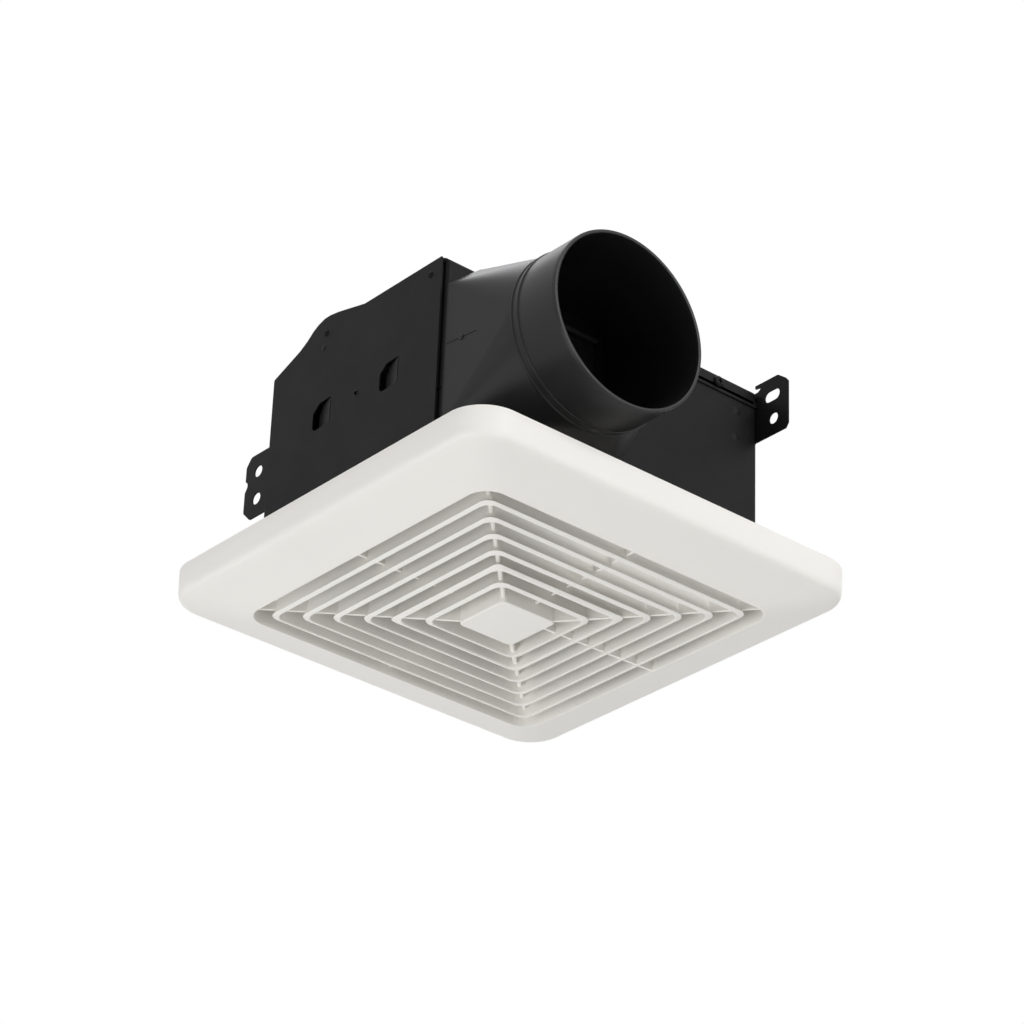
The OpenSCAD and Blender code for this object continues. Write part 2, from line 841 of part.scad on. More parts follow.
// Blind rivets through the end plates and the turned-in edges
module plate_rivets() {
    color(black_paint)
        for (s = [-1, 1])
            for (p = rivet_points)
                translate([p[0], s * hy, p[1]])
                    rotate([s > 0 ? -90 : 90, 0, 0])
                        screw_down(rivet_shank, rivet_d, rivet_head_h, 2 * sheet + 1);
}

// Plan of the raised cover, narrower beside the duct
module cover_plan(inset) {
    polygon([
        [cover_back_x + inset, -hy + cover_front_y + inset],
        [hx - cover_inset - inset, -hy + cover_front_y + inset],
        [hx - cover_inset - inset, cover_step_y + inset],
        [hx + sheet + seat - inset, cover_step_y + inset],
        [hx + sheet + seat - inset, hy - sheet - seat - inset],
        [cover_back_x + inset, hy - sheet - seat - inset]
    ]);
}

module top_cover() {
    color(black_paint)
    difference() {
        union() {
            translate([0, 0, housing_top])
                linear_extrude(cover_rise)
                    cover_plan(0);
            // Lip over the duct side
            translate([hx + seat, cover_step_y, cover_lip_z])
                cube([sheet, hy - sheet - seat - cover_step_y, cover_top - cover_lip_z - 1]);
        }
        translate([0, 0, housing_top - cut])
            linear_extrude(cover_rise - sheet + cut)
                cover_plan(sheet);
        rod_x([hx - cut, cover_screw_y, cover_screw_z], sheet + 3 * cut, cover_screw_d / 2 + seat);
    }
}

module top_cover_screw() {
    color(black_paint)
        translate([hx + seat + sheet, cover_screw_y, cover_screw_z])
            rotate([0, 90, 0])
                screw_down(cover_screw_d, cover_screw_head_d, screw_head_h, cover_screw_len);
}

// Duct adapter

// Square end of the adapter in Y and Z, with cut upper corners, drawn inset
module square_end(inset) {
    y0 = collar_y - square_half + inset;
    y1 = collar_y + square_half - inset;
    z0 = collar_z - square_half + inset;
    z1 = square_top - inset;
    cut_y = corner_cut_y - inset * (1 - tan(corner_angle / 2));
    cut_z = corner_cut_z - inset * (1 - tan(45 - corner_angle / 2));
    polygon([[y0, z0], [y0, z1 - cut_z], [y0 + cut_y, z1], [y1 - cut_y, z1], [y1, z1 - cut_z], [y1, z0]]);
}

// Flange round the square end, wider on the far side where its screws are
module flange_outline() {
    z0 = collar_z - square_half - flange_rim;
    intersection() {
        square_end(-flange_rim);
        translate([collar_y - 2 * square_half, z0])
            square([4 * square_half, housing_top - z0]);
    }
    translate([collar_y, z0])
        square([square_half + flange_far_rim, housing_top - z0]);
}

module duct_adapter() {
    inner_r = collar_r - adapter_wall;
    color(black_plastic)
    union() {
        difference() {
            union() {
                along_x(flange_x, flange_t)
                    flange_outline();
                hull() {
                    along_x(body_x - 0.5, 0.5)
                        square_end(0);
                    rod_x([round_x - 0.5, collar_y, collar_z], 0.5, collar_r);
                }
                rod_x([round_x - 1, collar_y, collar_z], rim_x - round_x + 1, collar_r);
                for (x = [round_x, bead_x + bead_gap])
                    rod_x([x, collar_y, collar_z], bead_w, collar_r + bead_h);
            }
            hull() {
                along_x(seat_x, 0.1)
                    square_end(adapter_wall);
                rod_x([round_x - 0.1, collar_y, collar_z], 0.1, inner_r);
            }
            rod_x([round_x - 0.2, collar_y, collar_z], rim_x - round_x + cut, inner_r);
            translate([flange_x - cut, outlet_y0, volute_z])
                cube([seat_x - flange_x + cut + 0.1, outlet_w, volute_h]);
            for (p = adapter_screw_points)
                rod_x([flange_x - cut, p[0], p[1]], flange_t + 2 * cut, adapter_screw_d / 2 + seat);
        }
        // Ears that hold the damper's pin
        for (s = [-1, 1])
            translate([0, collar_y + s * (flap_w / 2 + ear_gap + ear_w / 2), 0])
                difference() {
                    translate([seat_x - 0.2, -ear_w / 2, damper_z - ear_r])
                        cube([damper_x - seat_x + 0.2 + ear_r, ear_w, 2 * ear_r]);
                    rod_y([damper_x, -ear_w, damper_z], 2 * ear_w, damper_pin_r + running_gap);
                }
    }
}

module adapter_screws() {
    color(bare_steel)
        for (p = adapter_screw_points)
            translate([body_x, p[0], p[1]])
                rotate([0, 90, 0])
                    screw_down(adapter_screw_d, adapter_screw_head_d, screw_head_h,
                               flange_t + adapter_screw_grip);
}

// Damper: a plate hung from a pin at its upper edge
module damper_flap() {
    plate_x = seat_x + flap_gap;
    color(black_plastic)
    difference() {
        union() {
            translate([plate_x, collar_y - flap_w / 2, flap_bottom])
                cube([flap_t, flap_w, damper_z - flap_bottom]);
            rod_y([damper_x, collar_y - flap_w / 2, damper_z], flap_w, barrel_r);
            // Stiffening ribs on the outer face
            for (dy = [-0.25, 0, 0.25])
                translate([plate_x, collar_y + dy * flap_w - flap_rib_w / 2, flap_bottom + flap_rib_low])
                    cube([flap_t + flap_rib_h, flap_rib_w,
                          damper_z - flap_bottom - flap_rib_low - flap_rib_high]);
        }
        rod_y([damper_x, collar_y - flap_w / 2 - cut, damper_z], flap_w + 2 * cut, damper_pin_r + 0.01);
    }
}

module damper_pin() {
    reach = flap_w / 2 + ear_gap + ear_w + pin_out;
    color(bare_steel)
        rod_y([damper_x, collar_y - reach, damper_z], 2 * reach, damper_pin_r);
}

// Blower

// Radius of the volute at an angle counted from the tongue
tongue_angle = -38;
scroll_gap = 4;
// The scroll ends where it runs straight on into the outlet
scroll_end_angle = 270;
scroll_span = scroll_end_angle - tongue_angle;
scroll_end_r = (hx - sheet - 3) * 1.06;
function scroll_r(a) = wheel_r + scroll_gap + (scroll_end_r - wheel_r - scroll_gap) * a / scroll_span;
function scroll_point(a, inset) = [
    (scroll_r(a) - inset) * cos(a + tongue_angle),
    blower_y + (scroll_r(a) - inset) * sin(a + tongue_angle)
];
outlet_end_x = hx - sheet - seat;

// The inner face starts a little further back, so that the tongue keeps its thickness
tongue_lap = atan(1.8 * volute_wall / wheel_r);
post_points = [for (a = post_angles) scroll_point(a - tongue_angle, -(post_r - 1))];

// Plan of the volute: the spiral, then the widening outlet
module volute_plan(inset) {
    polygon(concat(
        inset > 0 ? [scroll_point(-tongue_lap, inset)] : [],
        [for (a = [0:7:scroll_span]) scroll_point(a, inset)],
        [[outlet_end_x + (inset > 0 ? cut : 0), outlet_y0 - volute_wall + inset],
         [outlet_end_x + (inset > 0 ? cut : 0), outlet_y1 + volute_wall - inset]]
    ));
}

module volute() {
    color(black_plastic)
    difference() {
        union() {
            translate([0, 0, volute_z + seat])
                linear_extrude(volute_h - 2 * seat)
                    difference() {
                        volute_plan(0);
                        volute_plan(volute_wall);
                    }
            for (p = post_points)
                translate([p[0], p[1], volute_z + seat])
                    cylinder(h = volute_h - 2 * seat, r = post_r);
        }
        for (p = post_points)
            translate([p[0], p[1], volute_z - cut])
                cylinder(h = volute_h + 2 * cut, r = post_hole_r);
        translate([0, 0, volute_z - cut])
            linear_extrude(volute_h + 2 * cut)
                volute_plan(volute_wall);
    }
}

// Plan that the inlet plate and the motor plate share, inside the wrapper
plate_x0 = back_x + sheet + plate_gap;
plate_x1 = hx - sheet - plate_gap;
module plate_plan(y0, y1) {
    translate([plate_x0, y0])
        square([plate_x1 - plate_x0, y1 - y0]);
}

module inlet_plate() {
    edge_y = hy - 2 * sheet - plate_gap;
    lip_mid = inlet_d / 2 + inlet_lip_r;
    color(black_paint)
    union() {
        difference() {
            translate([0, 0, plenum_h])
                linear_extrude(plate_t)
                    plate_plan(-edge_y, edge_y);
            translate([0, blower_y, plenum_h - cut])
                cylinder(h = plate_t + 2 * cut, r = lip_mid);
            for (p = post_points)
                translate([p[0], p[1], plenum_h - cut])
                    cylinder(h = plate_t + 2 * cut, r = post_hole_r + post_gap);
        }
        // Rolled edge of the inlet
        translate([0, blower_y, plenum_h + inlet_lip_r])
            rotate_extrude($fn = 96)
                intersection() {
                    translate([lip_mid, 0])
                        difference() {
                            circle(r = inlet_lip_r);
                            circle(r = inlet_lip_r - plate_t);
                        }
                    translate([0, -2 * inlet_lip_r])
                        square([lip_mid + 0.2, 2 * inlet_lip_r + 1]);
                }
    }
}

module inlet_plate_screws() {
    color(bare_steel)
        for (p = post_points)
            translate([p[0], p[1], plenum_h])
                rotate([180, 0, 0])
                    screw_down(2 * post_hole_r - seat, screw_head_d, screw_head_h, inlet_screw_len);
}

module motor_plate() {
    y0 = junction_y + motor_plate_front;
    y1 = hy - motor_plate_back;
    color(bare_steel)
    difference() {
        union() {
            translate([0, 0, plate_z])
                linear_extrude(plate_t)
                    plate_plan(y0, y1);
            // Turned-down edges, welded to the wrapper
            for (x = [plate_x0, plate_x1 - plate_t])
                translate([x, motor_fold_y, plate_z - motor_fold_h])
                    cube([plate_t, y1 - motor_fold_y, motor_fold_h + plate_t / 2]);
        }
        translate([0, blower_y, plate_z - cut])
            cylinder(h = plate_t + 2 * cut, r = motor_d / 2 + 1.5);
        for (a = motor_angles)
            translate([motor_screw_r * cos(a), blower_y + motor_screw_r * sin(a), plate_z - cut])
                cylinder(h = plate_t + 2 * cut, r = motor_screw_d / 2 + 0.1);
        translate([notch_x, notch_y, plate_z - cut])
            cylinder(h = plate_t + 2 * cut, r = lead_d / 2 + 1.5);
        for (p = post_points)
            translate([p[0], p[1], plate_z - cut])
                cylinder(h = plate_t + 2 * cut, r = post_hole_r);
    }
}

// One forward-curved blade in plan
blade_steps = 3;
blade_lean = 9;
blade_root_r = wheel_r - wheel_ring_w + 0.5;
function blade_point(t, off) =
    let (r = blade_root_r + blade_depth * t, a = blade_lean * t * t)
    [r * cos(a) - off * sin(a), r * sin(a) + off * cos(a)];
module blade_plan() {
    outer = [for (i = [0:blade_steps]) blade_point(i / blade_steps, blade_t / 2)];
    inner = [for (i = [blade_steps:-1:0]) blade_point(i / blade_steps, -blade_t / 2)];
    polygon(concat(outer, inner));
}

// Cage of blades between two rings
module blower_wheel() {
    color(black_plastic)
        translate([0, blower_y, 0])
            union() {
                for (z = [wheel_z, wheel_z + wheel_h - wheel_ring_t])
                    translate([0, 0, z])
                        linear_extrude(wheel_ring_t)
                            difference() {
                                circle(r = wheel_r);
                                circle(r = wheel_r - wheel_ring_w);
                            }
                for (i = [0:blade_count - 1])
                    rotate([0, 0, i * 360 / blade_count])
                        translate([0, 0, wheel_z + wheel_ring_t / 2])
                            linear_extrude(wheel_h - wheel_ring_t)
                                blade_plan();
            }
}

// Plate that carries the cage, pressed on the hub
module wheel_plate() {
    color(bare_steel)
        translate([0, blower_y, hub_z + hub_h / 2 - wheel_plate_t / 2])
            difference() {
                cylinder(h = wheel_plate_t, r = blade_root_r - running_gap);
                translate([0, 0, -cut])
                    cylinder(h = wheel_plate_t + 2 * cut, r = hub_r + running_gap);
            }
}

module wheel_hub() {
    color(bare_steel)
        translate([0, blower_y, hub_z])
            difference() {
                cylinder(h = hub_h, r = hub_r);
                translate([0, 0, -cut])
                    cylinder(h = hub_h + 2 * cut, r = shaft_r + 0.01);
            }
}

module wheel_nut() {
    color(bare_steel)
        translate([0, blower_y, hub_z - nut_gap - nut_h])
            difference() {
                cylinder(h = nut_h, r = shaft_r + nut_out, $fn = 6);
                translate([0, 0, -cut])
                    cylinder(h = nut_h + 2 * cut, r = shaft_r + 0.01);
            }
}

// Motor
bush_low_z = stack_z - bush_gap - bush_h;
bush_high_z = stack_top + bush_gap;

module motor_shaft() {
    z0 = hub_z - shaft_tail;
    color(bare_steel)
        translate([0, blower_y, z0])
            cylinder(h = bush_high_z + bush_h - 0.3 - z0, r = shaft_r);
}

module rotor_core() {
    color(bare_steel)
        translate([0, blower_y, stack_z])
            difference() {
                cylinder(h = stack_h, d = rotor_d);
                translate([0, 0, -cut])
                    cylinder(h = stack_h + 2 * cut, r = shaft_r + 0.01);
            }
}

module stator_core() {
    inner_r = rotor_d / 2 + air_gap;
    outer_r = motor_d / 2 - bell_t - seat;
    color(bare_steel)
        translate([0, blower_y, stack_z])
            linear_extrude(stack_h)
                difference() {
                    circle(r = outer_r);
                    circle(r = inner_r);
                    for (i = [0:stator_slots - 1])
                        rotate(i * 360 / stator_slots)
                            translate([inner_r + stator_tooth, -stator_slot_w / 2])
                                square([(outer_r - inner_r) * 0.55, stator_slot_w]);
                }
}

// The winding's two end turns, one above and one below the stack
module stator_winding() {
    inner_r = rotor_d / 2 + air_gap + stator_tooth;
    outer_r = motor_d / 2 - bell_t - turn_gap;
    color(copper)
        for (z = [stack_z - turn_h - seat, stack_top + seat])
            translate([0, blower_y, z])
                difference() {
                    cylinder(h = turn_h, r = outer_r);
                    translate([0, 0, -cut])
                        cylinder(h = turn_h + 2 * cut, r = inner_r);
                }
}

// A motor end cup, drawn with its closed end down at z = 0
module motor_cup(height, bush_z) {
    difference() {
        cylinder(h = height, d = motor_d);
        translate([0, 0, bell_t])
            cylinder(h = height, d = motor_d - 2 * bell_t);
    }
    translate([0, 0, bell_t / 2])
        cylinder(h = bush_z + bush_h - bell_t / 2, r = bush_r + boss_wall);
}

module motor_bell_lower() {
    bush_z = bush_low_z - motor_z;
    color(bare_steel)
        translate([0, blower_y, motor_z])
            difference() {
                motor_cup(motor_h / 2 - seat, bush_z);
                translate([0, 0, bush_z])
                    cylinder(h = bush_h + cut, r = bush_r + 0.02);
                translate([0, 0, -cut])
                    cylinder(h = motor_h, r = shaft_r + 0.6);
            }
}

module motor_bell_upper() {
    bush_z = motor_top - bush_high_z - bush_h;
    color(bare_steel)
        translate([0, blower_y, 0])
            difference() {
                union() {
                    translate([0, 0, motor_top])
                        mirror([0, 0, 1])
                            motor_cup(motor_h / 2 - seat, bush_z);
                    // Screw ears
                    for (a = motor_angles)
                        rotate([0, 0, a])
                            motor_ear();
                }
                translate([0, 0, bush_high_z - cut])
                    cylinder(h = bush_h + cut, r = bush_r + 0.02);
                for (a = motor_angles)
                    rotate([0, 0, a])
                        translate([motor_screw_r, 0, motor_ear_z - cut])
                            cylinder(h = ear_t + 2 * cut, r = grommet_neck_r + 0.1);
            }
}

module motor_ear() {
    difference() {
        union() {
            translate([motor_d / 2 - 2 * bell_t, -motor_ear_r, motor_ear_z])
                cube([motor_screw_r - motor_d / 2 + 2 * bell_t, 2 * motor_ear_r, ear_t]);
            translate([motor_screw_r, 0, motor_ear_z])
                cylinder(h = ear_t, r = motor_ear_r);
        }
        translate([0, 0, motor_ear_z - cut])
            cylinder(h = ear_t + 2 * cut, d = motor_d - bell_t);
    }
}

module bush(z) {
    color(bronze)
        translate([0, blower_y, z])
            difference() {
                cylinder(h = bush_h, r = bush_r);
                translate([0, 0, -cut])
                    cylinder(h = bush_h + 2 * cut, r = shaft_r + running_gap);
            }
}
module bush_lower() { bush(bush_low_z); }
module bush_upper() { bush(bush_high_z); }

// Rubber grommets, necked where they pass the motor's ears
grommet_top = motor_ear_z + ear_t + grommet_lip;
module motor_grommets() {
    foot_z = plate_z + plate_t;
    color(dark_rubber)
        for (a = motor_angles)
            translate([motor_screw_r * cos(a), blower_y + motor_screw_r * sin(a), foot_z])
                rotate_extrude()
                    polygon([
                        [motor_screw_d / 2 + 0.1, 0], [grommet_r, 0], [grommet_r, grommet_foot],
                        [grommet_neck_r, grommet_foot], [grommet_neck_r, motor_ear_z + ear_t + seat - foot_z],
                        [grommet_r, motor_ear_z + ear_t + seat - foot_z], [grommet_r, grommet_top - foot_z],
                        [motor_screw_d / 2 + 0.1, grommet_top - foot_z]
                    ]);
}

module motor_screws() {
    color(bare_steel)
        for (a = motor_angles)
            translate([motor_screw_r * cos(a), blower_y + motor_screw_r * sin(a), grommet_top])
                screw_down(motor_screw_d, motor_screw_head_d, screw_head_h,
                           grommet_top - plate_z + motor_screw_grip);
}

// Wiring

capacitor_x = -capacitor_len / 2;
capacitor_y = hy - sheet - capacitor_in - capacitor_w;
capacitor_z = plenum_h + plate_t + capacitor_lift;
module capacitor() {
    color(black_plastic)
        translate([capacitor_x, capacitor_y, capacitor_z])
            cube([capacitor_len, capacitor_w, capacitor_h]);
}

// Strap round the capacitor, with feet on the inlet plate
module capacitor_strap() {
    outline_y0 = capacitor_y - seat - strap_t;
    outline_z1 = capacitor_z + capacitor_h + seat + strap_t;
    outline_z0 = plenum_h + plate_t;
    end_y = hy - 2 * sheet - plate_gap;
    color(bare_steel)
        translate([-strap_w / 2, 0, 0])
            union() {
                translate([0, outline_y0, outline_z0])
                    cube([strap_w, strap_t, outline_z1 - outline_z0]);
                translate([0, outline_y0, outline_z1 - strap_t])
                    cube([strap_w, end_y - outline_y0, strap_t]);
                translate([0, outline_y0 - strap_foot, outline_z0])
                    cube([strap_w, strap_foot + strap_t, strap_t]);
                // Shelf under the capacitor
                translate([0, outline_y0, capacitor_z - seat - strap_t])
                    cube([strap_w, end_y - outline_y0, strap_t]);
            }
}

// Bent cover that closes the junction box off from the air path
module junction_cover() {
    y_end = -hy + sheet;
    color(bare_steel)
    difference() {
        translate([junction_x0, y_end + seat, junction_z])
            cube([junction_x1 - junction_x0, junction_y - y_end - seat, junction_h]);
        translate([junction_x0 + sheet, y_end - cut, junction_z + sheet])
            cube([junction_x1 - junction_x0 - 2 * sheet, junction_y - y_end + cut - sheet,
                  junction_h - 2 * sheet]);
        translate([receptacle_x - socket_w / 2 - seat, junction_y - sheet - cut,
                   receptacle_z - socket_h / 2 - seat])
            cube([socket_w + 2 * seat, sheet + 2 * cut, socket_h + 2 * seat]);
        rod_y([ground_x, junction_y - sheet - cut, ground_z], sheet + 2 * cut, ground_screw_d / 2 + seat);
    }
}

module receptacle() {
    color([0.85, 0.84, 0.8])
        union() {
            translate([receptacle_x - socket_w / 2, junction_y - socket_depth, receptacle_z - socket_h / 2])
                cube([socket_w, socket_depth + 2 * seat, socket_h]);
            translate([receptacle_x - socket_w / 2 - socket_rim, junction_y - sheet - seat - socket_rim_t,
                       receptacle_z - socket_h / 2 - socket_rim])
                cube([socket_w + 2 * socket_rim, socket_rim_t, socket_h + 2 * socket_rim]);
        }
}

module motor_plug() {
    color(dark_rubber)
        translate([receptacle_x - socket_w / 2 + plug_in, junction_y + 3 * seat,
                   receptacle_z - socket_h / 2 + plug_in])
            cube([socket_w - 2 * plug_in, plug_len, socket_h - 2 * plug_in]);
}

module ground_screw() {
    color([0.2, 0.5, 0.25])
        translate([ground_x, junction_y - sheet, ground_z])
            rotate([90, 0, 0])
                screw_down(ground_screw_d, motor_screw_head_d, screw_head_h, 5 * sheet);
}

module motor_lead() {
    color(dark_rubber)
        tube_along(lead_route, lead_d / 2, [0.9, 0.35, 0.2]);
}

housing_wrapper();
end_plate_left();
end_plate_right();
plate_rivets();
top_cover();
top_cover_screw();
duct_adapter();
adapter_screws();
damper_flap();
damper_pin();
volute();
inlet_plate();
inlet_plate_screws();
motor_plate();
blower_wheel();
wheel_plate();
wheel_hub();
wheel_nut();
motor_shaft();
rotor_core();
stator_core();
stator_winding();
motor_bell_upper();
motor_bell_lower();
bush_upper();
bush_lower();
motor_grommets();
motor_screws();
capacitor();
capacitor_strap();
junction_cover();
receptacle();
motor_plug();
motor_lead();
ground_screw();
spring_bracket_left();
spring_bracket_right();
grille();
grille_spring_left();
grille_spring_right();
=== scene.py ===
import math

import bmesh
import bpy
from mathutils import Matrix, Vector


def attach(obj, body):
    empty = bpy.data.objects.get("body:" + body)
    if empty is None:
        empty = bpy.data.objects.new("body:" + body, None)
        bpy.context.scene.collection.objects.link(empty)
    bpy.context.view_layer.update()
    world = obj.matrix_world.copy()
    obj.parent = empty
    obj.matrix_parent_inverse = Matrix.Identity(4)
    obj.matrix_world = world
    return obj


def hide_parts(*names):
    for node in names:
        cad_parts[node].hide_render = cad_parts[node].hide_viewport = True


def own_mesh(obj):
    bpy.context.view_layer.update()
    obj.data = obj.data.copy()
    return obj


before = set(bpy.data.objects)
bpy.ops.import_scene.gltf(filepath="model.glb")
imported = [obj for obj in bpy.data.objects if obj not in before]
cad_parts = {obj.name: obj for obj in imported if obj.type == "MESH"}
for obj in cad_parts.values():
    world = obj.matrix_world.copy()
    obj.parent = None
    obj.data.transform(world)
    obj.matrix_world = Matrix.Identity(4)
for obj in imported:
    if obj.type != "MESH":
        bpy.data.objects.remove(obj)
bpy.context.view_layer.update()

# Shapes are written in millimetres, as on a drawing, and turned into metres here.
MM = 0.001

# Driving sizes of the grille
GRILLE_HALF = 130.5
GRILLE_CORNER_R = 22.0
LIP_H = 17.0
WALL = 2.2
LOUVER_HALF = 98.3
LOUVER_R = 12.0
RING_R = 6.0
RING_WALL = 1.6
FOOT_W = 2.75
LOUVER_PITCH = 11.5
LOUVER_SAG = 0.65
FACE_DEPTH = 25.7
LOUVER_TOP = -15.7
FRAME_WALL_TOP = -12.0
RINGS = 6
PAD_HALF = 18.5
PAD_R = 3.7
RIB_T = 1.6

# Driving sizes of the grille springs, and of the lugs and pins that hold them
SPRING_X = 62.0
SPRING_Z = -4.5
SPRING_R = 2.8
SPRING_WIRE = 1.6
SPRING_ARM = 42.0
SPRING_TURNS = 2
SPRING_ANGLE = math.radians(30)
LUG_IN = 53.45
LUG_OUT = 58.45
LUG_HALF_W = 3.5
LUG_TOP = -1.6
SPRING_PIN_R = 1.7
SPRING_PIN_END = 66.55

# Driving sizes of the housing
FRONT_X = 73.0
BACK_X = -69.0
HALF_Y = 111.5
TOP = 116.0
LIFT = 1.5
SHEET = 0.8
SLOPE_X = BACK_X + 35.0
SLOPE_Z = TOP - 14.0
FOLD = 9.0
PLATE_FRONT = FRONT_X - 1.4
INNER_Y = HALF_Y - SHEET
COVER_TOP = TOP + 8.4
COVER_BACK_X = -30.0
COVER_STEP_X = FRONT_X - 11.0
COVER_STEP_Y = 47.0
COVER_FRONT_Y = 13.0 - HALF_Y
COVER_OUT = 0.9
COVER_LIP = 10.0
COVER_SCREW_Y = 81.0
COVER_SCREW_Z = TOP + 3.36
DIMPLES = ((95.6, 91.0), (96.2, 107.6))

# Driving sizes of the screw ears. A hole is its height off the middle and its radius.
LEFT_EAR_X = BACK_X - 20.5
LEFT_EAR_Z = (22.5, 61.5)
LEFT_EAR_MID = 42.0
LEFT_HOLE_X = BACK_X - 9.4
LEFT_HOLES = ((-8.35, 3.4), (8.35, 3.3))
RIGHT_EAR_X = FRONT_X + 24.8
RIGHT_EAR_Z = (93.5, 129.7)
RIGHT_HOLE_R = 3.3
RIGHT_SLOT = (11.4, 6.6)
RIGHT_SLOT_X = FRONT_X + 12.4
RIGHT_SLOT_Z = RIGHT_EAR_Z[1] - 11.5

# Driving sizes of the duct adapter
COLLAR_Y = -54.3
COLLAR_Z = 65.2
COLLAR_R = 49.5
ADAPTER_WALL = 2.0
FLANGE_X = FRONT_X + 0.1
FLANGE_T = 2.5
FLANGE_RIM = 0.6
FLANGE_FAR = 8.0
BODY_X = FLANGE_X + FLANGE_T
SEAT_X = BODY_X + ADAPTER_WALL
ROUND_X = BODY_X + 43.5
BEAD_W = 1.6
BEAD_H = 0.7
BEAD_GAP = 3.0
RIM_X = ROUND_X + 2 * BEAD_W + BEAD_GAP + 27.5
OUTLET_HALF = 38.0
OUTLET_Z = (39.0, 99.0)
FLAP_LAP = 3.0
PIN_X = SEAT_X + 2.7
PIN_Z = OUTLET_Z[1] + 2.7
FLAP_HALF = OUTLET_HALF + FLAP_LAP
FLANGE_SCREW_Y = COLLAR_Y + COLLAR_R + ADAPTER_WALL + 3.5
FLANGE_SCREW_DZ = (-37, 38)

# Screws: thread, head diameter, head height and length
COVER_SCREW = (2.8, 6.6, 2.0, 7.0)
FLANGE_SCREW = (2.8, 6.4, 2.0, 7.5)


# Mesh helpers

def link(name, data):
    obj = bpy.data.objects.new(name, data)
    bpy.context.scene.collection.objects.link(obj)
    return obj


def discard(obj):
    mesh = obj.data
    bpy.data.objects.remove(obj)
    bpy.data.meshes.remove(mesh)


def worked_out(obj):
    """A mesh of what an object's curve or modifiers make."""
    bpy.context.view_layer.update()
    return bpy.data.meshes.new_from_object(obj.evaluated_get(bpy.context.evaluated_depsgraph_get()))


def mesh_from(name, verts, faces):
    """A mesh object from points in millimetres."""
    mesh = bpy.data.meshes.new(name)
    mesh.from_pydata([(x * MM, y * MM, z * MM) for x, y, z in verts], [], faces)
    mesh.update()
    return link(name, mesh)


def tidy_mesh(obj, angle=32.0, weld=0.0004):
    """Welds doubled points, turns the faces outwards and shades smooth below an angle."""
    bm = bmesh.new()
    bm.from_mesh(obj.data)
    bmesh.ops.remove_doubles(bm, verts=bm.verts, dist=weld * MM)
    bmesh.ops.dissolve_degenerate(bm, edges=bm.edges, dist=weld * MM)
    bmesh.ops.recalc_face_normals(bm, faces=bm.faces)
    limit = math.radians(angle)
    for face in bm.faces:
        face.smooth = True
    for edge in bm.edges:
        edge.smooth = len(edge.link_faces) == 2 and edge.calc_face_angle(0.0) < limit
    bm.to_mesh(obj.data)
    bm.free()
    return obj


def loft(name, loops, ring=False, angle=32.0):
    """Quads between closed loops of equal length, with end caps or, for a ring, joined end to end."""
    count = len(loops[0])
    verts = [p for loop in loops for p in loop]
    faces = []
    spans = len(loops) if ring else len(loops) - 1
    for i in range(spans):
        a = i * count
        b = ((i + 1) % len(loops)) * count
        for k in range(count):
            n = (k + 1) % count
            faces.append((a + k, a + n, b + n, b + k))
    if not ring:
        faces.append(tuple(range(count)))
        last = (len(loops) - 1) * count
        faces.append(tuple(last + k for k in range(count)))
    return tidy_mesh(mesh_from(name, verts, faces), angle)


def square_loop(half, r, z, steps):
    """A square with round corners at height z."""
    points = []
    flat = half - r
    for sx, sy, start in ((1, 1, 0), (-1, 1, 90), (-1, -1, 180), (1, -1, 270)):
        for i in range(steps + 1):
            a = math.radians(start + 90.0 * i / steps)
            points.append((sx * flat + r * math.cos(a), sy * flat + r * math.sin(a), z))
    return points


def circle_loop(radius, z, steps):
    turn = 2 * math.pi / steps
    return [(radius * math.cos(turn * i), radius * math.sin(turn * i), z) for i in range(steps)]


def turned(name, profile, steps, angle=32.0):
    """A solid turned about Z from (radius, z) pairs that start and end at the axis side."""
    return loft(name, [circle_loop(r, z, steps) for r, z in profile], angle=angle)


def bevelled_box(name, low, high, width):
    """A box between two corners with its edges rounded."""
    bm = bmesh.new()
    bmesh.ops.create_cube(bm, size=1.0)
    size = [(h - l) * MM for l, h in zip(low, high)]
    centre = [(h + l) / 2 * MM for l, h in zip(low, high)]
    bmesh.ops.scale(bm, vec=size, verts=bm.verts)
    bmesh.ops.translate(bm, vec=centre, verts=bm.verts)
    bmesh.ops.bevel(bm, geom=list(bm.edges), offset=width * MM, segments=2, profile=0.5, affect="EDGES")
    mesh = bpy.data.meshes.new(name)
    bm.to_mesh(mesh)
    bm.free()
    return tidy_mesh(link(name, mesh), 40.0)


def round_corners(points, radii, steps=5):
    """Rounds each corner of a closed outline by its own radius."""
    result = []
    count = len(points)
    for i, (point, r) in enumerate(zip(points, radii, strict=True)):
        here = Vector(point)
        back = Vector(points[i - 1]) - here
        ahead = Vector(points[(i + 1) % count]) - here
        half_angle = back.angle(ahead) / 2
        if r <= 0 or half_angle > math.radians(89):
            result.append(tuple(here))
            continue
        reach = min(r / math.tan(half_angle), back.length * 0.49, ahead.length * 0.49)
        start = here + back.normalized() * reach
        end = here + ahead.normalized() * reach
        for k in range(steps + 1):
            t = k / steps
            result.append(tuple(start * (1 - t) ** 2 + here * (2 * t * (1 - t)) + end * t ** 2))
    return result


def circle_outline(x, y, radius, steps=32):
    turn = 2 * math.pi / steps
    return [(x + radius * math.cos(turn * i), y + radius * math.sin(turn * i)) for i in range(steps)]


def slot_outline(x, y, length, width, steps=12):
    reach = (length - width) / 2
    points = []
    for middle, start in ((x + reach, -math.pi / 2), (x - reach, math.pi / 2)):
        for i in range(steps + 1):
            a = start + math.pi * i / steps
            points.append((middle + width / 2 * math.cos(a), y + width / 2 * math.sin(a)))
    return points


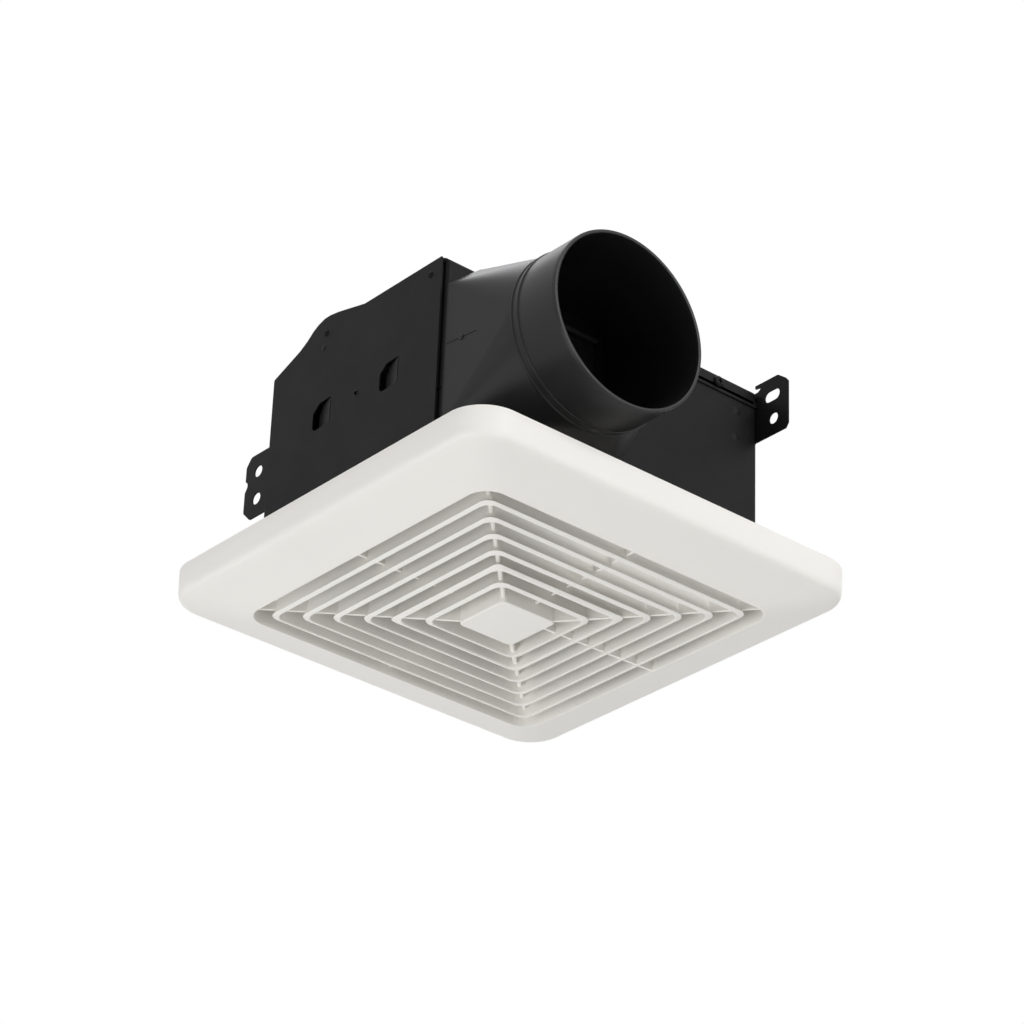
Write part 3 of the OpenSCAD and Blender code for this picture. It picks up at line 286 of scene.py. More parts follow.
def sheet_part(name, outline, holes, thickness, bevel=0.12):
    """A flat plate with holes and broken edges, drawn in X and Y and lying from z = 0 up."""
    curve = bpy.data.curves.new(name, "CURVE")
    curve.dimensions = "2D"
    curve.fill_mode = "BOTH"
    curve.extrude = (thickness / 2 - bevel) * MM
    curve.bevel_depth = bevel * MM
    curve.bevel_resolution = 1
    curve.offset = -bevel * MM
    for points in [outline] + list(holes):
        spline = curve.splines.new("POLY")
        spline.points.add(len(points) - 1)
        for target, (x, y) in zip(spline.points, points):
            target.co = (x * MM, y * MM, 0.0, 1.0)
        spline.use_cyclic_u = True
    source = link(name + "_curve", curve)
    mesh = worked_out(source)
    mesh.name = name
    mesh.transform(Matrix.Translation((0.0, 0.0, thickness / 2 * MM)))
    bpy.data.objects.remove(source)
    bpy.data.curves.remove(curve)
    return tidy_mesh(link(name, mesh), 20.0, weld=0.002)


# Drawing planes: X and Z seen from -Y, and Y and Z seen from +X
FACING_MINUS_Y = Matrix(((1, 0, 0, 0), (0, 0, -1, 0), (0, 1, 0, 0), (0, 0, 0, 1)))
FACING_PLUS_X = Matrix(((0, 0, 1, 0), (1, 0, 0, 0), (0, 1, 0, 0), (0, 0, 0, 1)))


def place(obj, matrix=None, at=(0, 0, 0)):
    """Bakes a turn and a move, in millimetres, into the mesh."""
    if matrix is not None:
        obj.data.transform(matrix)
    obj.data.transform(Matrix.Translation(Vector(at) * MM))
    return obj


def joined(name, parts):
    """One object from several."""
    bm = bmesh.new()
    for part in parts:
        bm.from_mesh(part.data)
    mesh = bpy.data.meshes.new(name)
    bm.to_mesh(mesh)
    bm.free()
    for part in parts:
        discard(part)
    return link(name, mesh)


def cut_away(obj, *cutters):
    """Cuts other pieces out of one and deletes them."""
    tool = joined("cutter", list(cutters))
    modifier = obj.modifiers.new("cut", "BOOLEAN")
    modifier.operation = "DIFFERENCE"
    modifier.solver = "EXACT"
    modifier.object = tool
    mesh = worked_out(obj)
    obj.modifiers.clear()
    old = obj.data
    obj.data = mesh
    bpy.data.meshes.remove(old)
    discard(tool)
    return obj


def dress(obj, body, slot, material, *nodes):
    """Gives a piece its material and body, and hides the CAD nodes it stands for. Its slot is not used."""
    obj.data.materials.clear()
    obj.data.materials.append(material)
    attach(obj, body)
    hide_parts(*nodes)


def paint_black(obj, node):
    """Dresses a painted piece of the housing."""
    dress(obj, "housing", "black_paint", BLACK_PAINT, node)


# Small parts: screws, rivets and pressed domes

FACE_MINUS_Y = Matrix.Rotation(math.radians(90), 4, "X")
FACE_PLUS_Y = Matrix.Rotation(math.radians(-90), 4, "X")
FACE_PLUS_X = Matrix.Rotation(math.radians(90), 4, "Y")


def make_screw(d, head_d, head_h, length):
    """A pan-head screw along +Z, its head standing on z = 0, with a cross recess."""
    r = d / 2
    root = r - 0.22
    profile = [(0.15, -length), (root * 0.8, -length + 0.5)]
    z = -length + 0.9
    while z < -1.1:
        profile += [(r, z), (root, z + 0.3)]
        z += 0.6
    big = head_d / 2
    profile += [(r, -0.5), (r, 0.0), (big - 0.15, 0.0), (big, 0.15), (big, head_h * 0.4),
                (big * 0.95, head_h * 0.66), (big * 0.82, head_h * 0.86), (big * 0.6, head_h * 0.96),
                (big * 0.3, head_h), (0.15, head_h)]
    screw = turned("screw", profile, 32)
    arm, half = head_d * 0.26, head_d * 0.065
    low, high = head_h * 0.3, head_h + 1
    cross = [bevelled_box("arm", (-arm, -half, low), (arm, half, high), 0.05),
             bevelled_box("arm", (-half, -arm, low), (half, arm, high), 0.05)]
    return tidy_mesh(cut_away(cut_away(screw, cross[0]), cross[1]), 32.0)


def make_rivet():
    """A blind rivet along +Z with its mandrel hole, the head standing on z = 0."""
    profile = [(0.1, -2.6), (0.9, -2.6), (1.1, -2.3), (1.1, 0.0), (1.72, 0.0), (1.8, 0.1), (1.78, 0.3),
               (1.6, 0.55), (1.3, 0.76), (0.95, 0.88), (0.7, 0.88), (0.58, 0.76), (0.55, 0.4), (0.3, 0.3),
               (0.1, 0.3)]
    return turned("rivet", profile, 32)


def soft_dome(radius, height):
    """A low pressed dome with a soft foot, standing on z = 0."""
    steps = 8
    profile = [(radius, -0.05)]
    for i in range(steps):
        t = i / steps
        profile.append((radius * (1 - t), height * (1 - math.cos(math.pi * t)) / 2))
    profile.append((0.02, height))
    return turned("dome", profile, 28, 60.0)


# Materials

class Surface:
    """A small builder for procedural materials."""

    def __init__(self, name):
        self.material = bpy.data.materials.new(name)
        self.material.use_nodes = True
        self.tree = self.material.node_tree
        self.shader = self.tree.nodes["Principled BSDF"]
        coords = self.tree.nodes.new("ShaderNodeTexCoord")
        self.coords = coords.outputs["Object"]

    def set(self, **values):
        for key, value in values.items():
            self.shader.inputs[key.replace("_", " ")].default_value = value

    def noise(self, scale, detail, stretch=(1, 1, 1)):
        mapping = self.tree.nodes.new("ShaderNodeMapping")
        mapping.inputs["Scale"].default_value = stretch
        self.tree.links.new(self.coords, mapping.inputs["Vector"])
        node = self.tree.nodes.new("ShaderNodeTexNoise")
        node.inputs["Scale"].default_value = scale
        node.inputs["Detail"].default_value = detail
        node.inputs["Roughness"].default_value = 0.55
        self.tree.links.new(mapping.outputs["Vector"], node.inputs["Vector"])
        return node.outputs["Fac"]

    def waves(self, scale):
        node = self.tree.nodes.new("ShaderNodeTexWave")
        node.bands_direction = "Z"
        node.inputs["Scale"].default_value = scale
        node.inputs["Distortion"].default_value = 0.0
        self.tree.links.new(self.coords, node.inputs["Vector"])
        return node.outputs["Fac"]

    def colours(self, factor, low, high, low_at=0.3, high_at=0.7):
        ramp = self.tree.nodes.new("ShaderNodeValToRGB")
        ramp.color_ramp.elements[0].position = low_at
        ramp.color_ramp.elements[0].color = (*low, 1.0)
        ramp.color_ramp.elements[1].position = high_at
        ramp.color_ramp.elements[1].color = (*high, 1.0)
        self.tree.links.new(factor, ramp.inputs["Fac"])
        self.tree.links.new(ramp.outputs["Color"], self.shader.inputs["Base Color"])

    def roughness(self, factor, low, high):
        node = self.tree.nodes.new("ShaderNodeMapRange")
        node.inputs["To Min"].default_value = low
        node.inputs["To Max"].default_value = high
        self.tree.links.new(factor, node.inputs["Value"])
        self.tree.links.new(node.outputs["Result"], self.shader.inputs["Roughness"])

    def bump(self, factor, strength, distance_mm):
        node = self.tree.nodes.new("ShaderNodeBump")
        node.inputs["Strength"].default_value = strength
        node.inputs["Distance"].default_value = distance_mm * MM
        self.tree.links.new(factor, node.inputs["Height"])
        self.tree.links.new(node.outputs["Normal"], self.shader.inputs["Normal"])


def plastic(name, low, high, rough, grain, strength=0.12, specular=0.5):
    made = Surface(name)
    broad = made.noise(9.0, 3.0)
    fine = made.noise(grain, 2.0)
    made.colours(broad, low, high)
    made.roughness(fine, *rough)
    made.bump(fine, strength, 0.05)
    made.set(Specular_IOR_Level=specular)
    return made.material


def powder_coat(name, low, high, rough, specular):
    made = Surface(name)
    broad = made.noise(14.0, 5.0)
    peel = made.noise(900.0, 2.0)
    made.colours(broad, low, high)
    made.roughness(made.noise(60.0, 4.0), *rough)
    made.bump(peel, 0.18, 0.06)
    made.set(Specular_IOR_Level=specular)
    return made.material


def bare_metal(name, low, high, rough=(0.25, 0.42), stretch=(1, 1, 30), scale=120.0):
    made = Surface(name)
    brushed = made.noise(scale, 4.0, stretch)
    made.colours(brushed, low, high)
    made.roughness(brushed, *rough)
    made.bump(brushed, 0.1, 0.02)
    made.set(Metallic=1.0)
    return made.material


def zinc(name):
    """Galvanised sheet, with its faint spangle."""
    made = Surface(name)
    cells = made.tree.nodes.new("ShaderNodeTexVoronoi")
    cells.inputs["Scale"].default_value = 160.0
    made.tree.links.new(made.coords, cells.inputs["Vector"])
    made.colours(cells.outputs["Color"], (0.42, 0.43, 0.44), (0.6, 0.61, 0.62), 0.2, 0.8)
    made.roughness(made.noise(70.0, 3.0), 0.3, 0.48)
    made.bump(made.noise(500.0, 2.0), 0.08, 0.03)
    made.set(Metallic=1.0)
    return made.material


def banded(name, low, high, scale, rough=(0.3, 0.45), depth=0.12):
    """Stacked laminations or wound wire: fine bands along Z."""
    made = Surface(name)
    bands = made.waves(scale)
    made.colours(bands, low, high, 0.2, 0.8)
    made.roughness(made.noise(90.0, 3.0), *rough)
    made.bump(bands, 0.5, depth)
    made.set(Metallic=1.0)
    return made.material


# Most are given the two colours between which they vary, and a range of roughness
WHITE = plastic("white_plastic", (0.9, 0.882, 0.822), (0.916, 0.898, 0.838), (0.42, 0.55), 1800.0,
                0.08, 0.4)
BLACK_PAINT = powder_coat("black_paint", (0.0075, 0.0075, 0.008), (0.0105, 0.0105, 0.011), (0.4, 0.55),
                          0.08)
BLACK_PLASTIC = plastic("black_plastic", (0.0105, 0.0105, 0.011), (0.0135, 0.0135, 0.014), (0.3, 0.4),
                        900.0, 0.06, 0.22)
FLAP_PLASTIC = plastic("flap_plastic", (0.014, 0.014, 0.0145), (0.019, 0.019, 0.0195), (0.4, 0.52),
                       900.0, 0.08, 0.35)
WHEEL_PLASTIC = plastic("wheel_plastic", (0.02, 0.02, 0.021), (0.03, 0.03, 0.031), (0.4, 0.55), 900.0, 0.08)
STEEL = bare_metal("steel", (0.5, 0.5, 0.51), (0.66, 0.66, 0.67))
SPRING_STEEL = bare_metal("spring_steel", (0.4, 0.4, 0.41), (0.56, 0.56, 0.57), (0.2, 0.35), (1, 1, 1),
                          900.0)
ZINC = zinc("zinc_sheet")
LAMINATIONS = banded("lamination_steel", (0.2, 0.2, 0.21), (0.38, 0.38, 0.4), 320.0)
COPPER = banded("copper", (0.5, 0.2, 0.07), (0.8, 0.38, 0.16), 200.0, (0.22, 0.35), 0.25)
BRONZE = bare_metal("bronze", (0.42, 0.27, 0.12), (0.56, 0.38, 0.19), (0.35, 0.5), (1, 1, 1), 700.0)
RUBBER = plastic("rubber", (0.014, 0.014, 0.014), (0.022, 0.022, 0.022), (0.65, 0.8), 1200.0, 0.15, 0.3)
CAPACITOR_CASE = plastic("capacitor_case", (0.016, 0.016, 0.018), (0.024, 0.024, 0.026), (0.28, 0.4),
                         1200.0)
IVORY = plastic("ivory_plastic", (0.6, 0.56, 0.44), (0.66, 0.62, 0.5), (0.3, 0.42), 1500.0)
PLUG_PLASTIC = plastic("plug_plastic", (0.016, 0.016, 0.016), (0.025, 0.025, 0.025), (0.4, 0.55), 1100.0)
LEAD_JACKET = plastic("lead_jacket", (0.018, 0.018, 0.018), (0.026, 0.026, 0.026), (0.5, 0.62), 800.0)
GREEN_SCREW = bare_metal("green_screw", (0.02, 0.16, 0.05), (0.04, 0.24, 0.08), (0.3, 0.42), (1, 1, 1),
                         500.0)


# Grille

def ring_half(k):
    return LOUVER_HALF - k * LOUVER_PITCH


def ring_low(k):
    return -(FACE_DEPTH + k * LOUVER_SAG)


def frame_profile():
    """(half side, corner radius, height) round the frame's section, from the rim down and back."""
    outer = [(-0.4, 0.0), (-0.1, -0.15), (0.0, -0.5), (-0.02, -6.0), (-0.3, -12.0), (-0.45, -13.7),
             (-0.8, -15.0), (-1.4, -16.0), (-2.25, -16.75), (-3.35, -17.3), (-4.9, -17.85), (-7.0, -18.5)]
    points = [(GRILLE_HALF + du, GRILLE_CORNER_R + du, z) for du, z in outer]
    inner = [(3.2, 0.95), (2.2, 0.62), (1.0, 0.26), (0.45, 0.12), (0.15, 0.2), (0.0, 0.5), (0.0, 3.0)]
    points += [(LOUVER_HALF + du, LOUVER_R + du, -FACE_DEPTH + dz) for du, dz in inner]
    back_half = GRILLE_HALF - WALL
    back_r = GRILLE_CORNER_R - WALL
    points += [
        (LOUVER_HALF, LOUVER_R, FRAME_WALL_TOP - 0.3), (LOUVER_HALF + 0.3, LOUVER_R + 0.3, FRAME_WALL_TOP),
        (LOUVER_HALF + WALL - 0.3, LOUVER_R + WALL - 0.3, FRAME_WALL_TOP),
        (LOUVER_HALF + WALL, LOUVER_R + WALL, FRAME_WALL_TOP - 0.3),
        (LOUVER_HALF + WALL, LOUVER_R + WALL, -FACE_DEPTH + 3.4),
        (back_half - 4.3, back_r - 4.3, -LIP_H + 1.8), (back_half - 0.6, back_r - 0.6, -LIP_H + 4.0),
        (back_half, back_r, -LIP_H + 6.0), (back_half, back_r, -0.3), (back_half + 0.3, back_r + 0.3, 0.0),
    ]
    return points


def ring_profile(k):
    """Section of a louver ring: a thin wall that flares out to a sloping foot."""
    height = LOUVER_TOP - ring_low(k)
    if k == RINGS - 1:
        foot = [(0.0, 1.9), (0.06, 1.2), (0.25, 0.68), (0.6, 0.38), (1.05, 0.36), (1.6, 0.55), (2.6, 1.0),
                (3.3, 1.7), (3.2, 2.1), (2.85, 2.8), (2.5, 3.7), (2.15, 4.9), (1.85, 6.4), (1.65, 8.4)]
    else:
        foot = [(0.0, 1.4), (0.04, 0.9), (0.16, 0.55), (0.38, 0.36), (0.7, 0.36), (1.3, 0.58), (2.35, 1.06),
                (FOOT_W - 0.1, 1.2), (FOOT_W, 1.42), (2.62, 1.8), (2.4, 2.4), (2.15, 3.3), (1.88, 4.8),
                (1.7, 6.8)]
    top = [(RING_WALL, height - 0.25), (RING_WALL - 0.25, height), (0.25, height), (0.0, height - 0.25)]
    return foot + top


def ring_corner(k, u):
    """Corner radius at a distance u outside the ring's inner wall. The foot's corner stays tight."""
    if k == RINGS - 1 and u > RING_WALL:
        return RING_R - 1.6 * (u - RING_WALL)
    if u > RING_WALL:
        return RING_R + RING_WALL * (FOOT_W - u) / (FOOT_W - RING_WALL)
    return RING_R + u * (RING_WALL - 0.35) / RING_WALL


def rib_blade(start, end, start_z, end_z, thick=RIB_T, round_off=0.25):
    """A rib along +X. Its lower edge slopes from start_z to end_z."""
    outline = [(end, LOUVER_TOP), (start, LOUVER_TOP), (start, start_z), (end, end_z)]
    return place(sheet_part("rib", outline, [], thick, round_off), FACING_MINUS_Y, (0, thick / 2, 0))


# Ribs by their angle: lower edge at the pad and at the frame, then for a side rib how far it stands
# off the middle, and for a diagonal one its thickness and the rounding of its edge
SIDE_RIBS = {
    0: (-23.6, -22.2, 4.0), 90: (-27.0, -24.9, -4.5), 180: (-20.4, -20.2, 0.0), 270: (-20.0, -21.2, -8.0),
}
DIAGONAL_RIBS = {
    45: (-29.2, -22.0, 1.6, 0.3), 135: (-28.0, -20.2, 2.4, 0.9), 225: (-28.6, -20.6, 1.6, 0.3),
    315: (-27.4, -20.0, 2.4, 0.9),
}


def make_grille():
    parts = [loft("frame", [square_loop(h, r, z, 20) for h, r, z in frame_profile()], ring=True)]
    for k in range(1, RINGS + 1):
        half = ring_half(k)
        loops = []
        for u, dz in ring_profile(k):
            loops.append(square_loop(half + u, max(0.4, ring_corner(k, u)), ring_low(k) + dz, 14))
        parts.append(loft("ring", loops, ring=True))
    low = ring_low(RINGS + 1)
    wall = PAD_HALF - RING_WALL
    pad = [(PAD_HALF - 1.4, PAD_R - 1.4, low), (PAD_HALF - 0.6, PAD_R - 0.5, low + 0.1),
           (PAD_HALF - 0.15, PAD_R - 0.1, low + 0.45), (PAD_HALF, PAD_R, low + 1.0),
           (PAD_HALF, PAD_R, LOUVER_TOP - 0.2), (PAD_HALF - 0.2, PAD_R - 0.2, LOUVER_TOP),
           (wall + 0.2, PAD_R - RING_WALL, LOUVER_TOP), (wall, PAD_R - RING_WALL, LOUVER_TOP - 0.2),
           (wall, PAD_R - RING_WALL, low + 2.4)]
    parts.append(loft("pad", [square_loop(h, r, z, 12) for h, r, z in pad]))
    # Ribs across the middle of each side, and on each diagonal
    corner_out = (LOUVER_HALF - LOUVER_R) * math.sqrt(2) + LOUVER_R + RING_WALL / 2
    corner_in = (PAD_HALF - PAD_R) * math.sqrt(2) + PAD_R - RING_WALL / 2
    for angle, (pad_z, frame_z, aside) in SIDE_RIBS.items():
        rib = rib_blade(PAD_HALF - RING_WALL / 2, LOUVER_HALF + RING_WALL / 2, pad_z, frame_z)
        place(rib, at=(0, aside, 0))
        parts.append(place(rib, Matrix.Rotation(math.radians(angle), 4, "Z")))
    for angle, (pad_z, frame_z, thick, round_off) in DIAGONAL_RIBS.items():
        rib = rib_blade(corner_in, corner_out, pad_z, frame_z, thick, round_off)
        parts.append(place(rib, Matrix.Rotation(math.radians(angle), 4, "Z")))
    # Lugs and pins that hold the springs
    pin_profile = [(SPRING_PIN_R - 0.2, LUG_OUT - 1), (SPRING_PIN_R, LUG_OUT - 0.8),
                   (SPRING_PIN_R, SPRING_PIN_END - 0.4), (SPRING_PIN_R - 0.4, SPRING_PIN_END)]
    for side in (-1, 1):
        low_x, high_x = sorted((side * LUG_IN, side * LUG_OUT))
        parts.append(bevelled_box("lug", (low_x, -LUG_HALF_W, LOUVER_TOP - 3.5),
                                  (high_x, LUG_HALF_W, LUG_TOP), 0.5))
        pin = turned("pin", pin_profile, 24)
        parts.append(place(pin, Matrix.Rotation(math.radians(90 * side), 4, "Y"), (0, 0, SPRING_Z)))
    dress(joined("grille_moulding", parts), "grille", "white_plastic", WHITE, "grille")


make_grille()


# Grille springs

def spring_route(side):
    """Down one arm, round the coil and up the other arm."""
    sweep = 2 * math.pi * SPRING_TURNS + math.pi - 2 * SPRING_ANGLE
    span = (SPRING_WIRE + 0.5) * sweep / (2 * math.pi)
    coil = []
    steps = 30 * (SPRING_TURNS + 1)
    for i in range(steps + 1):
        a = math.pi + SPRING_ANGLE + sweep * i / steps
        along = SPRING_X - span / 2 + span * i / steps
        coil.append(Vector((along, SPRING_R * math.cos(a), SPRING_Z + SPRING_R * math.sin(a))))
    left = coil[0] + Vector((0, -math.sin(SPRING_ANGLE), math.cos(SPRING_ANGLE))) * SPRING_ARM
    right = coil[-1] + Vector((0, math.sin(SPRING_ANGLE), math.cos(SPRING_ANGLE))) * SPRING_ARM
    hook = Vector((0, 3.1, -1.5))
    points = [left + Vector((0, -hook.y, hook.z)), left + Vector((0, -0.8, 0.1)), left, *coil, right,
              right + Vector((0, 0.8, 0.1)), right + hook]
    return [Vector((side * p.x, p.y, p.z)) for p in points]


def tube(name, points, radius, steps=12):
    """A round tube along points, its sections set out from the X direction."""
    loops = []
    for i, point in enumerate(points):
        ahead = points[min(i + 1, len(points) - 1)] - points[max(i - 1, 0)]
        ahead.normalize()
        u = ahead.cross(Vector((1, 0.02, 0))).normalized()
        v = ahead.cross(u)
        turn = 2 * math.pi / steps
        loops.append([tuple(point + (u * math.cos(turn * k) + v * math.sin(turn * k)) * radius)
                      for k in range(steps)])
    return loft(name, loops)


for side, word in ((-1, "left"), (1, "right")):
    spring = tube(f"spring_{word}", spring_route(side), SPRING_WIRE / 2)
    dress(spring, "grille", "spring_steel", SPRING_STEEL, f"grille_spring_{word}")
    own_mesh(spring)


# Housing wrapper: one bent sheet with turned-in edges behind the end plates

WRAPPER_PATH = [(FRONT_X, LIFT), (FRONT_X, TOP), (SLOPE_X, TOP), (BACK_X, SLOPE_Z), (BACK_X, LIFT)]
WRAPPER_BENDS = [0.0, 2.5, 6.0, 4.0, 0.0]
# How far the turned-in edge steps back behind the near end plate, along the duct side, and the two
# depths between which it does
EDGE_STEP = 2.0
STEP_NEAR = 3.2
STEP_FAR = 4.6


def straight(start, normal):
    """A function from depth to a point, straight in from the outer face."""
    return lambda depth: start + normal * depth


def arc(centre, out, bend):
    """A function from depth to a point, in along one radius of a bend."""
    return lambda depth: centre + out * (bend - depth)


def mitred(line, corner, middle, grow, bend):
    """The same as line down to the bend's centre, and the mitre of the corner below it."""
    return lambda depth: line(depth) if depth <= bend else corner + middle * (depth / grow)


def wrapper_stations():
    """Stops along the path, each a function from depth to a point and the step of the near edge."""
    path = [Vector(spot) for spot in WRAPPER_PATH]
    normals = []
    for here, there in zip(path, path[1:]):
        ahead = (there - here).normalized()
        normals.append(Vector((-ahead.y, ahead.x)))
    stations = [(straight(path[0], normals[0]), EDGE_STEP)]
    for i in range(1, len(path) - 1):
        corner, bend = path[i], WRAPPER_BENDS[i]
        before, after = normals[i - 1], normals[i]
        middle = (before + after).normalized()
        grow = middle.dot(before)
        mitre = (corner, middle, grow, bend)
        centre = corner + middle * (bend / grow)
        turn = before.angle(after)
        steps = max(3, round(math.degrees(turn) / 15))
        step_back = EDGE_STEP if i == 1 else 0.0
        along = Vector((before.y, -before.x))
        first = centre - before * bend - along * 0.4
        stations.append((mitred(straight(first, before), *mitre), step_back))
        for s in range(steps + 1):
            t = s / steps
            out = -(before * math.sin(turn * (1 - t)) + after * math.sin(turn * t)).normalized()
            stations.append((mitred(arc(centre, out, bend), *mitre), step_back * (1 - t)))
        along = Vector((after.y, -after.x))
        last = centre - after * bend + along * 0.4
        stations.append((mitred(straight(last, after), *mitre), 0.0))
    stations.append((straight(path[-1], normals[-1]), 0.0))
    return stations


def quarter_bend(d0, y0, radius, inward, steps=5):
    """Points of a bend between the wall at depth 0 and an edge turned in at y0."""
    points = []
    for i in range(steps + 1):
        a = math.pi / 2 * i / steps
        points.append((d0 + radius * (1 - math.sin(a)), y0 + inward * radius * (1 - math.cos(a))))
    return points


def wrapper_section(step):
    """(depth, y) round the sheet's section, from the near edge over the outer face and back inside."""
    near, far = -INNER_Y, INNER_Y
    bend = 1.4 + step * 0.45
    outer = [(FOLD, near), (STEP_FAR, near), (STEP_NEAR, near + step), (bend + 0.3, near + step)]
    outer += quarter_bend(0.0, near + step, bend, 1)
    outer += [(0.0, near + step + bend + 0.4), (0.0, far - 2.0)]
    outer += list(reversed(quarter_bend(0.0, far, 1.6, -1)))
    outer += [(1.9, far), (FOLD, far)]
    inner = [(FOLD, far - SHEET), (1.9, far - SHEET)]
    inner += quarter_bend(SHEET, far - SHEET, 0.8, -1)
    inner += [(SHEET, far - 2.0), (SHEET, near + step + bend + 0.4)]
    inner += list(reversed(quarter_bend(SHEET, near + step + SHEET, bend - SHEET, 1)))
    inner += [(bend + 0.3, near + step + SHEET), (STEP_NEAR + 0.2, near + step + SHEET),
              (STEP_FAR + 0.2, near + SHEET), (FOLD, near + SHEET)]
    return outer + inner


def make_wrapper():
    loops = []
    for at_depth, step in wrapper_stations():
        loop = []
        for depth, y in wrapper_section(step):
            spot = at_depth(depth)
            loop.append((spot.x, y, spot.y))
        loops.append(loop)
    shell = loft("shell", loops, angle=30.0)
    y0, y1 = COLLAR_Y - OUTLET_HALF, COLLAR_Y + OUTLET_HALF
    outlet = bevelled_box("cutter", (FRONT_X - 3, y0, OUTLET_Z[0]), (FRONT_X + 2, y1, OUTLET_Z[1]), 0.05)
    under_cover = bevelled_box("cutter", (COVER_BACK_X + 8, -30, TOP - 3),
                               (COVER_STEP_X - 8, HALF_Y - 15, TOP + 2), 0.05)
    shell = tidy_mesh(cut_away(shell, outlet, under_cover), 30.0)
    # Left ear, turned out of the back wall behind the end plate
    ear_x, (low, high), mid = LEFT_EAR_X, LEFT_EAR_Z, LEFT_EAR_MID
    ear = [(BACK_X + 2, low), (ear_x + 6, low), (ear_x, low + 6), (ear_x, mid - 1), (ear_x + 2, mid + 2),
           (ear_x + 2, mid + 4), (ear_x, mid + 6), (ear_x, high - 5), (ear_x + 4, high),
           (BACK_X + 2, high)]
    radii = [0, 2.5, 2.5, 1.2, 1.0, 1.0, 1.2, 3.0, 3.0, 0]
    holes = [circle_outline(LEFT_HOLE_X, mid + dz, r) for dz, r in LEFT_HOLES]
    blade = sheet_part("ear", round_corners(ear, radii, 4), holes, SHEET, 0.15)
    parts = [shell, place(blade, FACING_MINUS_Y, (0, -INNER_Y + SHEET, 0))]
    # Tab behind the cover's lip, and the dimples beside the right corner
    parts.append(bevelled_box("tab", (FRONT_X - SHEET, COVER_STEP_Y + 6, TOP - 2),
                              (FRONT_X, HALF_Y - 3, COVER_TOP - 1), 0.2))
    for y, z in DIMPLES:
        parts.append(place(soft_dome(3.0, 0.5), FACE_PLUS_X, (FRONT_X, y, z)))
    paint_black(joined("housing_wrap", parts), "housing_wrapper")


make_wrapper()


# End plates and their rivets

HUMP_X = SLOPE_X + 12
HUMP = [(30, 0), (25, 1.1), (15, 3.4), (7, 5.2), (0, 6.2), (-5, 6.1), (-10, 4.5), (-14, 2.4), (-19, -1.6),
        (-25, -5.2)]
RIVETS = [(FRONT_X - 10.5, TOP - 7.5), (SLOPE_X + 9.5, TOP - 4.0), (BACK_X + FOLD / 2, 12.0)]
RIVET_HOLE_R = 1.15
KNOCKOUTS = (-24.0, 32.0)
KNOCKOUT_Z = 62.0
KNOCKOUT_W = 15.0
KNOCKOUT_H = 16.0
KNOCKOUT_BEND = 15.0
KNOCKOUT_GAP = 0.4
PIERCED_X = 5.0
PIERCED_Z = KNOCKOUT_Z + 0.5
PIERCED_R = 1.1
PRESSED_MARK = (-25.7, 103.4)


def knockout_outline(x, grow=0.0):
    """A cable opening with a slanted upper back corner."""
    half_w = KNOCKOUT_W / 2 + grow
    half_h = KNOCKOUT_H / 2 + grow
    points = [(x + half_w, KNOCKOUT_Z - half_h * 0.9), (x + half_w, KNOCKOUT_Z + half_h),
              (x - half_w * 0.3, KNOCKOUT_Z + half_h * 0.95), (x - half_w, KNOCKOUT_Z + half_h * 0.38),
              (x - half_w, KNOCKOUT_Z - half_h * 0.75), (x - half_w * 0.7, KNOCKOUT_Z - half_h)]
    return round_corners(points, [1.5, 1.0, 2.0, 2.5, 1.5, 1.5], 5)


def plate_top_edge():
    """From the front of the plate's top over the hump to the back corner, and each point's rounding."""
    points = [(PLATE_FRONT, TOP)] + [(HUMP_X + x, TOP + z) for x, z in HUMP] + [(BACK_X, SLOPE_Z)]
    radii = [1.0] + [4.0] * len(HUMP) + [1.5]
    return points, radii


def make_left_plate():
    edge, radii = plate_top_edge()
    outline = [(PLATE_FRONT, LIFT)] + edge + [(BACK_X, LIFT)]
    radii = [0.8] + radii + [0.8]
    holes = [circle_outline(x, z, RIVET_HOLE_R, 16) for x, z in RIVETS]
    holes += [knockout_outline(x) for x in KNOCKOUTS]
    holes.append(circle_outline(PIERCED_X, PIERCED_Z, PIERCED_R, 16))
    plate = sheet_part("left_plate", round_corners(outline, radii, 4), holes, SHEET, 0.15)
    parts = [place(plate, FACING_MINUS_Y, (0, -HALF_Y + SHEET, 0))]
    for x in KNOCKOUTS:
        tab = sheet_part("tab", knockout_outline(x, -KNOCKOUT_GAP), [], SHEET)
        place(tab, FACING_MINUS_Y, (0, SHEET, 0))
        hinge = Vector(((x + KNOCKOUT_W / 2 - KNOCKOUT_GAP) * MM, 0, 0))
        swing = (Matrix.Translation(hinge) @ Matrix.Rotation(math.radians(-KNOCKOUT_BEND), 4, "Z")
                 @ Matrix.Translation(-hinge))
        parts.append(place(tab, swing, (0, -HALF_Y, 0)))
    # Raised rim of the pierced hole, and a small pressed mark below the rivet
    rim = [(PIERCED_R, 0.3), (1.25, 0.42), (1.5, 0.36), (1.9, 0.1), (2.2, -0.05), (PIERCED_R, -0.05)]
    collar = loft("rim", [circle_loop(r, z, 28) for r, z in rim], ring=True)
    parts.append(place(collar, FACE_MINUS_Y, (PIERCED_X, -HALF_Y, PIERCED_Z)))
    mark_x, mark_z = PRESSED_MARK
    parts.append(place(soft_dome(2.4, 0.45), FACE_MINUS_Y, (mark_x, -HALF_Y, mark_z)))
    paint_black(joined("left_end_plate", parts), "end_plate_left")


